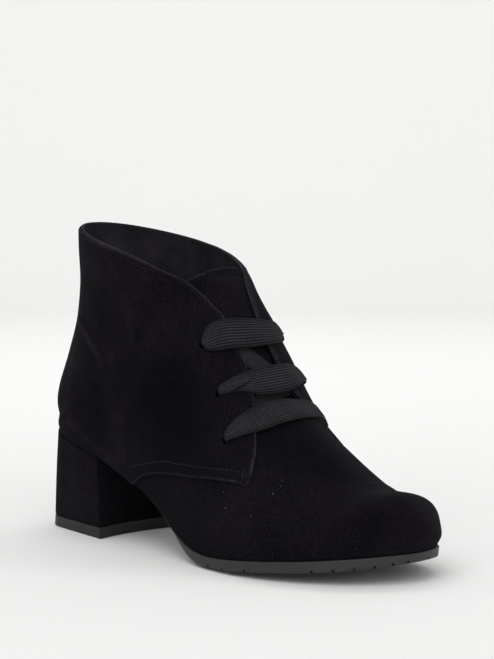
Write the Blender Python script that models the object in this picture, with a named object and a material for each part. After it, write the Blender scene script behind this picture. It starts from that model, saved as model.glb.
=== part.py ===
"""Lace-up ankle boot for the right foot, with a block heel.

All tables are in millimetres: x runs to the inner side of the foot, u forward
from the back of the heel, z up from the floor. The toe points to -Y.
"""

import math

import bpy
import numpy as np

for old in list(bpy.data.objects):
    bpy.data.objects.remove(old, do_unlink=True)

# ---------------------------------------------------------------- driving sizes
MM = 0.001
WALL = 2.0            # suede and lining of the upper
GAP = 0.3             # between neighbouring pieces
TIP_SHIFT = 4.0       # the tip of the toe lies this far to the inner side
SHIFT_FROM = 165.0    # where the toe starts to turn inward
SOLE_PROUD = 0.9      # outsole past the edge of the upper
SOLE_TUCK = 1.6       # it is this much narrower on each side under the arch
SOLE_LEAST = 1.0      # its thickness there
SEAT_PROUD = 0.8      # heel cover past the edge of the upper
SOLE_EDGE_LIFT = 1.5  # the outsole's rim rises this far from its flat middle
INSOLE_INSET = 3.2
INSOLE_THICK = 2.5
LIFT_THICK = 6.0      # rubber top piece of the heel
HEEL_BACK = -4.3      # u of the heel's back at the floor
HEEL_FRONT = 56.2     # u of the breast's corners at the floor
HEEL_FRONT_TOP = 56.6 # u of the breast's corners under the seat
HEEL_HALF = 29.1      # half width at the breast, at the floor
HEEL_TAPER = math.radians(9.5)
HEEL_ROUND = 17.0     # length of the rounded back
BREAST_HOLLOW = 3.8   # depth of the concave breast
TONGUE_DEPTH = 3.6    # outer face of the tongue under the line of the upper
TONGUE_THICK = 2.6
TONGUE_BACK = 3.6     # middle of the tongue past the last section of the upper, backward
TONGUE_RISE = 4.8     # and upward
LACE_THICK = 1.7
LACE_WIDTH = 14.0
CROSS_TOP = 2.3       # upper face of the crossings under the line of the upper
CROSS_THICK = 0.9
CROSS_WIDTH = 8.0

# lower edge of the upper: half widths to the outer and inner side, and its height
OUTLINE_COLS = ("u", "out", "in_", "z")
OUTLINE = [
    (5.6, 0.0, 0.0, 55.4),
    (7.8, 12.0, 12.0, 54.9),
    (13.4, 21.5, 21.5, 53.3),
    (25.0, 27.8, 27.4, 50.2),
    (45.0, 30.3, 29.5, 45.3),
    (63.0, 30.5, 28.5, 40.2),
    (85.0, 31.0, 25.5, 32.6),
    (110.0, 34.0, 26.0, 20.0),
    (128.0, 38.0, 30.0, 11.4),
    (140.0, 41.0, 34.0, 7.9),
    (155.0, 43.8, 39.0, 6.8),
    (170.0, 44.8, 42.0, 7.6),
    (185.0, 43.6, 43.0, 8.9),
    (200.0, 40.0, 41.8, 10.2),
    (214.0, 34.0, 38.0, 11.6),
    (226.0, 26.0, 31.5, 12.9),
    (234.0, 17.5, 24.0, 13.8),
    (239.5, 8.5, 14.0, 14.4),
    (242.0, 0.0, 0.0, 14.6),
]

# sections of the upper, each in a plane through its lower point and its point on the crest;
# a_max is the share of the height where the section is widest, p the squareness below and above it
SECTION_COLS = ("name", "u_bot", "z_bot", "u_top", "z_top", "out_max", "in_max", "a_max", "p_low", "p_top", "x_top")
SECTIONS = [
    ("tip", 242.0, None, 242.0, 14.6, 0.0, 0.0, 0.25, 2.0, 1.0, 4.0),
    ("toe_wall", 237.5, None, 243.6, 24.6, 13.2, 18.7, 0.25, 2.0, 1.1, 4.0),
    ("toe_crown", 229.0, None, 239.3, 33.8, 24.3, 29.8, 0.25, 2.0, 1.3, 4.0),
    ("toe_box", 217.0, None, 229.0, 39.4, 34.0, 37.9, 0.25, 2.0, 1.9, 4.0),
    ("toe_back", 202.0, None, 212.5, 40.4, 41.0, 42.3, 0.26, 2.0, 1.65, 3.8),
    ("ball_fore", 184.0, None, 195.8, 48.6, 45.6, 43.5, 0.27, 2.0, 1.7, 3.6),
    ("ball", 164.0, None, 180.6, 58.7, 46.0, 42.7, 0.27, 2.0, 2.05, 3.4),
    ("vamp", 144.0, None, 168.2, 67.6, 43.5, 41.0, 0.28, 2.0, 2.35, 3.0),
    ("instep", 122.0, None, 158.9, 76.8, 39.5, 41.8, 0.30, 2.0, 2.8, 2.6),
    ("waist", 100.0, None, 151.8, 87.8, 36.5, 41.8, 0.32, 2.0, 3.1, 2.3),
    ("breast", 75.0, None, 145.4, 98.5, 34.2, 41.5, 0.34, 2.0, 3.35, 2.2),
    ("seat_fore", 50.0, None, 139.4, 107.9, 33.5, 41.0, 0.36, 2.0, 3.5, 2.2),
    ("seat", 25.0, None, 135.4, 116.6, 33.0, 40.5, 0.38, 2.15, 3.5, 2.2),
    ("seat_back", 9.4, None, 132.3, 121.8, 32.85, 40.1, 0.395, 2.5, 3.42, 2.2),
    ("rear", 5.6, 55.4, 130.0, 125.2, 32.8, 40.0, 0.40, 2.6, 3.38, 2.2),
    ("counter", 1.3, 68.0, 126.8, 129.8, 32.7, 39.6, 0.42, 2.35, 3.25, 2.2),
    ("counter_top", 5.6, 88.0, 123.6, 133.6, 32.7, 39.1, 0.44, 1.95, 3.1, 2.1),
    ("ankle", 14.8, 110.0, 120.3, 136.6, 33.0, 38.6, 0.455, 1.75, 2.9, 2.0),
    ("shaft", 18.7, 135.0, 116.9, 138.5, 33.8, 38.2, 0.468, 1.7, 2.7, 1.9),
    ("collar", 18.5, 162.5, 113.9, 140.1, 34.6, 37.8, 0.48, 1.65, 2.45, 1.8),
]

# rounded back of the heel and shaft by height: half widths, length from the back to the widest point, and squareness of the curve
BACK_COLS = ("z", "out", "in_", "reach", "p")
BACK = [
    (42.0, 30.5, 28.8, 44.0, 2.95),
    (52.6, 31.6, 31.8, 46.0, 2.85),
    (68.0, 32.5, 36.8, 50.0, 2.4),
    (88.0, 32.7, 38.9, 50.0, 2.0),
    (110.0, 33.0, 38.6, 48.0, 1.78),
    (135.0, 33.8, 38.2, 46.0, 1.7),
    (162.5, 34.6, 37.8, 45.0, 1.72),
]

# edges of the throat and the front of the collar: length of surface from the crest to the outer and to the inner edge
FACING_COLS = ("s", "out", "in_")
FACING = [
    (7.74, 20.6, 16.0),
    (8.2, 17.8, 12.6),
    (8.6, 16.0, 10.4),
    (9.6, 13.2, 7.8),
    (10.4, 12.4, 6.9),
    (12.3, 13.8, 6.6),
    (14.2, 16.8, 8.6),
    (16.0, 20.9, 12.2),
    (17.2, 24.2, 16.8),
    (18.0, 29.2, 22.6),
    (18.6, 37.4, 34.0),
    (18.85, 45.6, 45.0),
    (18.95, 52.0, 53.0),
    (19.0, 60.0, 62.0),
]

# underside of the outsole along its middle
UNDER_COLS = ("u", "z")
UNDER = [
    (50.0, 42.6), (63.0, 38.9), (85.0, 31.5), (105.0, 21.2), (116.0, 14.9), (123.5, 10.2), (132.0, 4.4), (139.5, 1.3), (144.0, 0.3),
    (148.0, 0.0), (164.0, 0.0), (171.0, 0.5), (183.0, 1.6), (202.0, 3.1), (212.0, 4.0), (220.5, 4.9), (228.0, 6.0), (234.0, 7.0), (243.0, 8.7),
]

# lace holes: section, length of surface from the crest to the hole, and how far the bar between them dips in the throat
HOLE_COLS = ("row", "s", "arc", "sag")
HOLES = [("1", 11.4, 28.0, 1.0), ("2", 9.15, 29.8, 0.9), ("3", 7.6, 37.0, 0.0)]

# crossings of the lace under the bars: hole row they start from at the outer side, and row they reach at the inner side
# which side of that hole they keep to, in sections
CROSS_COLS = ("name", "outer_row", "inner_row", "keep")
CROSSINGS = [("lace_cross_1", 0, 1, 0.42), ("lace_cross_2", 2, 1, -0.42)]

# half width of the tongue along its sections
TONGUE_COLS = ("s", "half")
TONGUE = [(7.0, 20.0), (8.0, 23.0), (11.0, 23.5), (14.0, 25.5), (16.0, 29.5), (19.0, 33.0)]
# its top edge from the outer to the inner side: share of the half width, last section, share of the rise past it
TONGUE_TOP_COLS = ("v", "s", "lift")
TONGUE_TOP = [
    (-1.0, 15.6, 0.0), (-0.87, 16.55, 0.0), (-0.74, 17.25, 0.0), (-0.53, 18.0, 0.0), (-0.33, 18.75, 0.12), (-0.1, 18.95, 0.55),
    (0.18, 18.95, 0.74), (0.45, 18.95, 0.52), (0.62, 18.92, 0.3), (0.77, 18.75, 0.1), (0.88, 18.2, 0.0), (1.0, 17.0, 0.0),
]


# ---------------------------------------------------------------- curves
def columns(rows, names):
    return {name: [row[i] for row in rows] for i, name in enumerate(names)}


def hermite(xs, ys, m):
    def curve(x):
        x = np.clip(np.asarray(x, float), xs[0], xs[-1])
        i = np.clip(np.searchsorted(xs, x, side="right") - 1, 0, len(xs) - 2)
        h = xs[i + 1] - xs[i]
        t = (x - xs[i]) / h
        return ys[i] * (1 + 2 * t) * (1 - t) ** 2 + m[i] * h * t * (1 - t) ** 2 + ys[i + 1] * t * t * (3 - 2 * t) + m[i + 1] * h * t * t * (t - 1)
    return curve


def monotone(xs, ys):
    """Smooth curve through the rows that never swings past them."""
    xs, ys = np.asarray(xs, float), np.asarray(ys, float)
    h = np.diff(xs)
    d = np.diff(ys) / h
    m = np.zeros(len(xs))
    for i in range(1, len(xs) - 1):
        if d[i - 1] * d[i] > 0:
            a, b = 2 * h[i] + h[i - 1], h[i] + 2 * h[i - 1]
            m[i] = (a + b) / (a / d[i - 1] + b / d[i])
    m[0], m[-1] = d[0], d[-1]
    return hermite(xs, ys, m)


def spline(xs, ys):
    """Natural cubic through the rows."""
    xs, ys = np.asarray(xs, float), np.asarray(ys, float)
    n, h = len(xs), np.diff(xs)
    d = np.diff(ys) / h
    a, r = np.zeros((n, n)), np.zeros(n)
    a[0, 0], a[0, 1], r[0] = 2, 1, 3 * d[0]
    a[-1, -1], a[-1, -2], r[-1] = 2, 1, 3 * d[-1]
    for i in range(1, n - 1):
        a[i, i - 1], a[i, i], a[i, i + 1] = h[i], 2 * (h[i] + h[i - 1]), h[i - 1]
        r[i] = 3 * (h[i] * d[i - 1] + h[i - 1] * d[i])
    return hermite(xs, ys, np.linalg.solve(a, r))


def ease(a, b, x):
    t = np.clip((np.asarray(x, float) - a) / (b - a), 0, 1)
    return t * t * (3 - 2 * t)


def lengths(p):
    return np.concatenate([[0], np.cumsum(np.linalg.norm(np.diff(p, axis=0), axis=1))])


def walk(p, at):
    """Points of the polyline p at the given lengths from its start."""
    d = lengths(p)
    return np.stack([np.interp(at, d, p[:, i]) for i in range(p.shape[1])], -1)


# ---------------------------------------------------------------- the last
o = columns(OUTLINE, OUTLINE_COLS)
c = columns(SECTIONS, SECTION_COLS)
NAMES = c["name"]
TOE = o["u"][-1]
S_END = len(SECTIONS) - 1.0
S_REAR = float(NAMES.index("rear"))
rows = np.arange(len(SECTIONS))
out_sq, in_sq = monotone(o["u"], np.square(o["out"])), monotone(o["u"], np.square(o["in_"]))
feather_z = spline(o["u"], o["z"])
bot_u = spline(rows, c["u_bot"])
bot_z = spline(rows, [feather_z(u) if z is None else z for u, z in zip(c["u_bot"], c["z_bot"])])
top_u, top_z = spline(rows, c["u_top"]), spline(rows, c["z_top"])
out_max_sq, in_max_sq = monotone(rows, np.square(c["out_max"])), monotone(rows, np.square(c["in_max"]))
a_max, p_low, p_top, x_top = (monotone(rows, c[k]) for k in ("a_max", "p_low", "p_top", "x_top"))


k_back = columns(BACK, BACK_COLS)
back_width = {-1: monotone(k_back["z"], k_back["out"]), 1: monotone(k_back["z"], k_back["in_"])}
back_reach, back_p = monotone(k_back["z"], k_back["reach"]), monotone(k_back["z"], k_back["p"])
back_u = spline([42.0] + [z for z in c["z_bot"] if z is not None], [6.6] + [u for u, z in zip(c["u_bot"], c["z_bot"]) if z is not None])


def x_mid(u):
    return TIP_SHIFT * np.clip((np.asarray(u, float) - SHIFT_FROM) / (TOE - SHIFT_FROM), 0, 1) ** 1.6


def ends(s):
    """Lower point and crest point of section s, as (u, z)."""
    u = float(bot_u(s))
    z = float(bot_z(s)) if s >= S_REAR else float(feather_z(u))
    return np.array([u, z]), np.array([float(top_u(s)), float(top_z(s))])


def half(s, side, n=160):
    """One half of section s, from its lower point to the crest; side -1 is the outer half, +1 the inner."""
    (ub, zb), (ut, zt) = ends(s)
    xb, xt = float(x_mid(ub)), float(x_top(s))
    base = 0.0 if s >= S_REAR else float(max((out_sq if side < 0 else in_sq)(ub), 0.0))
    widest = max(float((out_max_sq if side < 0 else in_max_sq)(s)), base, 1e-9)
    am, k = float(a_max(s)), n // 2
    t = np.linspace(math.pi / 2, 0, k, endpoint=False)
    a_lower, f_lower = am * (1 - np.sin(t) ** (2 / float(p_low(s)))), np.sqrt(1 - (1 - base / widest) * np.sin(t) ** 2)
    t = np.linspace(0, math.pi / 2, n - k)
    a_upper, f_upper = am + (1 - am) * np.sin(t) ** (2 / float(p_top(s))), np.cos(t)
    a, f = np.concatenate([a_lower, a_upper]), np.concatenate([f_lower, f_upper])
    u, z = ub + (ut - ub) * a, zb + (zt - zb) * a
    # round the back, the width follows the curve of the heel at that height
    from_back = np.maximum(u - back_u(z) - (ub - back_u(zb) if s >= S_REAR else 0.0), 0.0)
    from_back[0] = 0.0 if s >= S_REAR else from_back[0]
    round_sq = back_width[side](z) ** 2 * (1 - np.maximum(1 - from_back / back_reach(z), 0.0) ** back_p(z))
    round_w = np.sqrt(round_sq)
    round_w = round_w + (math.sqrt(base) - round_w[0]) * (1 - ease(0.0, 0.35, a))
    share = 1 - ease(24.0, 72.0, from_back)
    width = np.sqrt(widest * f * f * (1 - share) + round_w ** 2 * share)
    return np.stack([xb + (xt - xb) * a + side * width, u, z], -1)


S_THROAT = FACING[0][0]
facing_arc = {-1: monotone([r[0] for r in FACING], [r[1] for r in FACING]), 1: monotone([r[0] for r in FACING], [r[2] for r in FACING])}


def rim_length(s, h):
    """Length along the half section h from its lower point to the facing or collar edge."""
    side = -1 if h[80, 0] < x_top(s) else 1
    full = lengths(h)[-1]
    if s < S_THROAT:
        g = half(S_THROAT, side)
        return full * rim_length(S_THROAT, g) / lengths(g)[-1]
    return full - float(facing_arc[side](s))


def on_last(s, arc):
    """Point of the upper's outer surface on section s, at this length from the crest; negative arcs are the outer side."""
    h = half(s, -1 if arc < 0 else 1)[::-1]
    return walk(h, np.array([abs(arc)]))[0]


def outward(s, arc):
    e, f = 0.03, 0.4
    n = np.cross(on_last(min(s + e, S_END), arc) - on_last(s - e, arc), on_last(s, arc + f) - on_last(s, arc - f))
    b, t = ends(s)
    m = (b + t) / 2
    n = n / np.linalg.norm(n)
    return n if np.dot(n, on_last(s, arc) - np.array([float(x_top(s)), m[0], m[1]])) > 0 else -n


def step_s(s):
    """Length along the crest for one unit of s."""
    return float(np.hypot(top_u(s + 0.05) - top_u(s - 0.05), top_z(s + 0.05) - top_z(s - 0.05)) / 0.1)


# ---------------------------------------------------------------- meshes
def weld(verts, faces):
    """Points that coincide made one, and the faces that collapse left out."""
    verts = np.asarray(verts, float)
    _, first, index = np.unique(np.round(verts, 4), axis=0, return_index=True, return_inverse=True)
    index = index.reshape(-1)
    kept = []
    for face in faces:
        ids = [int(index[i]) for i in face]
        ids = [v for k, v in enumerate(ids) if v != ids[k - 1]]
        if len(ids) > 2:
            kept.append(ids)
    return verts[first], kept


def volume(verts, faces):
    total = 0.0
    for f in faces:
        for k in range(1, len(f) - 1):
            total += np.dot(verts[f[0]], np.cross(verts[f[k]], verts[f[k + 1]]))
    return total / 6


def closed(verts, faces):
    verts, faces = weld(verts, faces)
    return (verts, faces) if volume(verts, faces) > 0 else (verts, [f[::-1] for f in faces])


def slab(top, bottom):
    """Solid between two grids of the same size, with walls round their edges."""
    n, k = top.shape[:2]
    verts = np.concatenate([top.reshape(-1, 3), bottom.reshape(-1, 3)])
    at = lambda i, j, low: low * n * k + i * k + j
    faces = []
    for i in range(n - 1):
        for j in range(k - 1):
            faces.append((at(i, j, 0), at(i + 1, j, 0), at(i + 1, j + 1, 0), at(i, j + 1, 0)))
            faces.append((at(i, j, 1), at(i, j + 1, 1), at(i + 1, j + 1, 1), at(i + 1, j, 1)))
    ring = [(i, 0) for i in range(n - 1)] + [(n - 1, j) for j in range(k - 1)] + [(i, k - 1) for i in range(n - 1, 0, -1)] + [(0, j) for j in range(k - 1, 0, -1)]
    for (a, b), (e, f) in zip(ring, ring[1:] + ring[:1]):
        faces.append((at(a, b, 0), at(a, b, 1), at(e, f, 1), at(e, f, 0)))
    return closed(verts, faces)


def vertex_normals(verts, faces):
    n = np.zeros_like(verts)
    for f in faces:
        p = verts[list(f)]
        v = np.cross(p[2 % len(p)] - p[0], p[-1] - p[1]) if len(p) == 4 else np.cross(p[1] - p[0], p[2] - p[0])
        for i in f:
            n[i] += v
    return n / np.maximum(np.linalg.norm(n, axis=1), 1e-12)[:, None]


def shell(verts, faces, wall, floor_z):
    """Hollow solid: the outer skin, an inner skin one wall inside it, and the edges closed between them."""
    verts, faces = weld(verts, faces)
    inner = verts - wall * vertex_normals(verts, faces)
    edge_faces = {}
    for f in faces:
        for a, b in zip(f, f[1:] + f[:1]):
            edge_faces.setdefault((min(a, b), max(a, b)), []).append((a, b))
    for edge in (e[0] for e in edge_faces.values() if len(e) == 1):
        for i in edge:
            inner[i, 2] = max(inner[i, 2], floor_z(verts[i]))
    n = len(verts)
    result = list(faces) + [[i + n for i in f[::-1]] for f in faces]
    result += [[b, a, a + n, b + n] for (a, b) in (e[0] for e in edge_faces.values() if len(e) == 1)]
    return np.concatenate([verts, inner]), result


# ---------------------------------------------------------------- plan outlines
def offset_edges(d, n=500):
    """The lower outline moved outward by d: functions of u for its outer and inner edge, and its range of u."""
    t = np.linspace(0, math.pi, n)
    u = o["u"][0] + (TOE - o["u"][0]) * (1 - np.cos(t)) / 2
    outer = np.stack([x_mid(u) - np.sqrt(np.maximum(out_sq(u), 0)), u], -1)
    inner = np.stack([x_mid(u) + np.sqrt(np.maximum(in_sq(u), 0)), u], -1)
    loop = np.concatenate([outer, inner[-2:0:-1]])
    tangent = np.roll(loop, -1, 0) - np.roll(loop, 1, 0)
    normal = np.stack([-tangent[:, 1], tangent[:, 0]], -1)
    loop = loop + d * normal / np.linalg.norm(normal, axis=1)[:, None]
    back, tip = int(np.argmin(loop[:, 1])), int(np.argmax(loop[:, 1]))
    k = len(loop)
    first = np.array([loop[(back + i) % k] for i in range((tip - back) % k + 1)])
    second = np.array([loop[(back - i) % k] for i in range((back - tip) % k + 1)])
    a, b = (first, second) if first[len(first) // 2, 0] < second[len(second) // 2, 0] else (second, first)
    return (lambda v: np.interp(v, np.maximum.accumulate(a[:, 1]), a[:, 0]), lambda v: np.interp(v, np.maximum.accumulate(b[:, 1]), b[:, 0]),
            float(loop[back, 1]), float(loop[tip, 1]))


def stations(lo, hi, n, round_lo, round_hi):
    """Values from lo to hi, closer together at a rounded end."""
    t = np.linspace(0, 1, n)
    if round_lo and round_hi:
        t = (1 - np.cos(math.pi * t)) / 2
    elif round_lo:
        t = 1 - np.cos(math.pi / 2 * t)
    elif round_hi:
        t = np.sin(math.pi / 2 * t)
    return lo + (hi - lo) * t


def hollow(share, x_rel):
    """How far the breast's curve pulls a point back, from the corner to the middle."""
    return -BREAST_HOLLOW * ease(0.35, 1.0, share) * (1 - x_rel ** 2)


# ---------------------------------------------------------------- pieces
def make_upper(per_row=2, side_cols=15, front_cols=8):
    ss = sorted(set([0.12, 0.35, 0.7] + [float(v) for v in np.arange(1, S_END + 1e-6, 1 / per_row)]))
    ss = [s for s in ss if abs(s - S_THROAT) > 0.25] + [S_THROAT]
    ss.sort()
    tip = np.array([float(x_mid(TOE)), TOE, o["z"][-1]])
    verts, index = [tip], []
    for s in ss:
        row = {}
        for side in (-1, 1):
            h = half(s, side)
            r = rim_length(s, h)
            row[side] = walk(h, np.linspace(0, r, side_cols + 1))
            row[2 * side] = walk(h, np.linspace(r, lengths(h)[-1], front_cols // 2 + 1))
        line = [row[-1]] + ([row[-2][1:], row[2][::-1][1:]] if s <= S_THROAT else [])
        both = [np.concatenate(line + [row[1][::-1][1:]])] if s <= S_THROAT else [row[-1], row[1][::-1]]
        ids = []
        for part in both:
            ids.append(list(range(len(verts), len(verts) + len(part))))
            verts.extend(part)
        index.append((s, ids))
    faces = []
    first = index[0][1][0]
    faces += [(0, a, b) for a, b in zip(first, first[1:])]
    for (s, a), (_, b) in zip(index, index[1:]):
        lower = a if len(a) == len(b) else [a[0][:side_cols + 1], a[0][-side_cols - 1:]]
        for p, q in zip(lower, b):
            faces += [(p[k], q[k], q[k + 1], p[k + 1]) for k in range(len(p) - 1)]
    verts = np.array(verts)
    faces = [list(f) for f in faces]
    v, f = weld(verts, faces)
    n = vertex_normals(v, f)
    crest = int(np.argmax(v[:, 2]))
    if np.dot(n[crest], v[crest] - np.array([0.0, 80.0, 80.0])) < 0:
        faces = [x[::-1] for x in faces]
    return shell(verts, faces, WALL, lambda p: float(feather_z(p[1])) if p[2] < 56 else p[2] - WALL)


def make_insole(n=34, k=5):
    e_out, e_in, lo, hi = offset_edges(-INSOLE_INSET)
    grid = np.array([[(x, u, float(feather_z(u))) for x in np.linspace(e_out(u), e_in(u), k)] for u in stations(lo, hi, n, True, True)])
    return slab(grid + (0, 0, INSOLE_THICK), grid)


def make_outsole(n=40, k=9):
    e_out, e_in, _, hi = offset_edges(SOLE_PROUD)
    l_out, l_in, _, hi_low = offset_edges(SOLE_PROUD - 0.5)
    lo = HEEL_FRONT_TOP + GAP
    top, bottom = [], []
    under = monotone([r[0] for r in UNDER], [r[1] for r in UNDER])
    for u, v in zip(stations(lo, hi, n, False, True), stations(lo, hi_low, n, False, True)):
        share = 1 - np.clip((u - lo) / 40, 0, 1)
        rel = np.linspace(-1, 1, k)
        rel = np.sign(rel) * np.abs(rel) ** 0.8
        row_t, row_b = [], []
        for r in rel:
            tuck = SOLE_TUCK * (1 - ease(100, 132, u))
            xt = (e_out(u) + e_in(u)) / 2 + r * ((e_in(u) - e_out(u)) / 2 - tuck)
            xb = (l_out(v) + l_in(v)) / 2 + r * ((l_in(v) - l_out(v)) / 2 - tuck)
            back = hollow(share, r)
            ut, ub = u + back, v + back
            row_t.append((xt, ut, float(feather_z(ut)) - GAP))
            tip = ease(hi_low - 25, hi_low, v)
            lift = SOLE_EDGE_LIFT * (tip + (1 - tip) * ease(0.6, 1.0, abs(r))) * ease(85, 125, v)
            row_b.append((xb, ub, min(float(under(ub)) + lift, float(feather_z(min(ub, TOE))) - GAP - SOLE_LEAST)))
        top.append(row_t)
        bottom.append(row_b)
    return slab(np.array(top), np.array(bottom))


def heel_edges(share, front, back):
    """Half width of the heel's plan at the floor."""
    u = back + (front - back) * share
    w = HEEL_HALF - math.tan(HEEL_TAPER) * (front - u)
    return w * math.sqrt(max(1 - max((back + HEEL_ROUND - u) / HEEL_ROUND, 0.0) ** 2.3, 0.0))


def heel_grid(shares, k, level, z):
    """Grid of the heel's plan: level 0 at the floor, 1 at the seat, with z a function of u."""
    e_out, e_in, seat_back, _ = offset_edges(SEAT_PROUD)
    grid = []
    for share in shares:
        low_u = HEEL_BACK + (HEEL_FRONT - HEEL_BACK) * share
        high_u = seat_back + (HEEL_FRONT_TOP - seat_back) * share
        w = heel_edges(share, HEEL_FRONT, HEEL_BACK)
        row = []
        for r in np.linspace(-1, 1, k):
            low_x = r * w
            high_x = (e_out(high_u) + e_in(high_u)) / 2 + r * (e_in(high_u) - e_out(high_u)) / 2
            u = low_u + (high_u - low_u) * level + hollow(share, r)
            row.append((low_x + (high_x - low_x) * level, u, z(u)))
        grid.append(row)
    return np.array(grid)


HEEL_SHARES = stations(0, 1, 18, True, False)


def make_heel_block(k=9):
    low = (LIFT_THICK + GAP) / 46.0
    return slab(heel_grid(HEEL_SHARES, k, 1.0, lambda u: float(feather_z(max(u, o["u"][0]))) - GAP),
                heel_grid(HEEL_SHARES, k, low, lambda u: LIFT_THICK + GAP))


def make_heel_lift(k=9):
    return slab(heel_grid(HEEL_SHARES, k, LIFT_THICK / 46.0, lambda u: LIFT_THICK), heel_grid(HEEL_SHARES, k, 0.0, lambda u: 0.0))


def make_tongue(n=22, k=13):
    width = monotone([r[0] for r in TONGUE], [r[1] for r in TONGUE])
    t = columns(TONGUE_TOP, TONGUE_TOP_COLS)
    last_s, share_up = monotone(t["v"], t["s"]), monotone(t["v"], t["lift"])
    across_it = np.linspace(-1, 1, k)
    top, bottom = np.zeros((n + 3, k, 3)), np.zeros((n + 3, k, 3))
    for j, v in enumerate(across_it):
        for i, s in enumerate(np.linspace(TONGUE[0][0], float(last_s(v)), n)):
            arc = v * float(width(s))
            p, m = on_last(s, arc), outward(s, arc)
            top[i, j] = p - TONGUE_DEPTH * m
            bottom[i, j] = p - (TONGUE_DEPTH + TONGUE_THICK) * m
    rise = np.array([0.0, -TONGUE_BACK, TONGUE_RISE])
    for i, share in enumerate((0.45, 0.8, 1.0)):
        lift = (share * share_up(across_it))[:, None] * rise
        top[n + i], bottom[n + i] = top[n - 1] + lift, bottom[n - 1] + lift
    return slab(top, bottom)


def ribbon(path, width, low, high, k=5):
    """Flat lace over the upper's surface: path rows are (s, arc, share of the width, height change)."""
    top, bottom = [], []
    for s, arc, share, rise in path:
        row_t, row_b = [], []
        for v in np.linspace(-1, 1, k):
            sv = s + v * share * width / 2 / step_s(s)
            p, m = on_last(sv, arc), outward(sv, arc)
            crown = (high - low) * (0.45 + 0.55 * (1 - v * v))
            row_t.append(p + m * (low + crown + rise))
            row_b.append(p + m * (low + rise))
        top.append(row_t)
        bottom.append(row_b)
    return slab(np.array(top), np.array(bottom))


def make_bar(hole, n=19):
    _, s, arc, sag = hole
    left, right = -float(facing_arc[-1](s)), float(facing_arc[1](s))
    middle, reach = (left + right) / 2, (right - left) / 2 - 2.0
    path = []
    for a in np.linspace(-arc, arc, n):
        dip = -sag * max(1 - ((a - middle) / reach) ** 2, 0.0)
        path.append((s, a, 0.42 + 0.58 * float(ease(0, 14, arc - abs(a))), dip))
    return ribbon(path, LACE_WIDTH, GAP, GAP + LACE_THICK)


def make_crossing(crossing, n=13):
    _, a, b, keep = crossing
    (_, s0, arc0, _), (_, s1, arc1, _) = HOLES[a], HOLES[b]
    path = [(s0 + (s1 + keep - s0) * t, -arc0 * 0.72 + (arc1 + arc0) * 0.72 * t, 1.0, 0.0) for t in np.linspace(0, 1, n)]
    return ribbon(path, CROSS_WIDTH, -CROSS_TOP - CROSS_THICK, -CROSS_TOP, k=3)


# ---------------------------------------------------------------- objects
# looks of each piece: colour, roughness
LOOK_COLS = ("material", "rgb", "roughness")
LOOKS = {
    "suede": ((0.012, 0.011, 0.013), 0.95),
    "rubber": ((0.035, 0.034, 0.034), 0.6),
    "lining": ((0.03, 0.028, 0.03), 0.8),
    "lace": ((0.03, 0.029, 0.032), 0.85),
}

PIECES = [
    ("outsole", "rubber", make_outsole()),
    ("heel_block", "suede", make_heel_block()),
    ("heel_lift", "rubber", make_heel_lift()),
    ("upper", "suede", make_upper()),
    ("tongue", "suede", make_tongue()),
    ("insole", "lining", make_insole()),
]
PIECES += [("lace_bar_" + hole[0], "lace", make_bar(hole)) for hole in HOLES]
PIECES += [(crossing[0], "lace", make_crossing(crossing)) for crossing in CROSSINGS]

everything = np.concatenate([verts for _, _, (verts, _) in PIECES])
low, high = everything.min(0), everything.max(0)
ORIGIN_X, ORIGIN_U = (low[0] + high[0]) / 2, (low[1] + high[1]) / 2
print("origin x %.4f u %.4f mm, size %s" % (ORIGIN_X, ORIGIN_U, (high - low).round(2)))

root = bpy.data.objects.new("boot", None)
bpy.context.scene.collection.objects.link(root)


def add_piece(name, look, verts, faces):
    points = np.stack([verts[:, 0] - ORIGIN_X, ORIGIN_U - verts[:, 1], verts[:, 2]], -1) * MM
    mesh = bpy.data.meshes.new(name)
    mesh.from_pydata([tuple(p) for p in points], [], [tuple(f) for f in faces])
    mesh.validate()
    mesh.shade_smooth()
    mesh.set_sharp_from_angle(angle=math.radians(40))
    piece = bpy.data.objects.new(name, mesh)
    bpy.context.scene.collection.objects.link(piece)
    piece.parent = root
    rgb, rough = LOOKS[look]
    material = bpy.data.materials.new(name + "_" + look)
    material.use_nodes = True
    shader = material.node_tree.nodes["Principled BSDF"]
    shader.inputs["Base Color"].default_value = (*rgb, 1)
    shader.inputs["Roughness"].default_value = rough
    shader.inputs["Metallic"].default_value = 0.0
    mesh.materials.append(material)
    return piece


for name, look, (verts, faces) in PIECES:
    # the map to world turns u into -y, which mirrors the faces once
    add_piece(name, look, verts, [list(f)[::-1] for f in faces])
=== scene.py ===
"""Looks of the lace-up ankle boot for the right foot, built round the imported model.

Tables are in millimetres: x runs to the inner side of the foot, u forward from
the back of the heel, z up from the floor.
"""

import math

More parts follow.
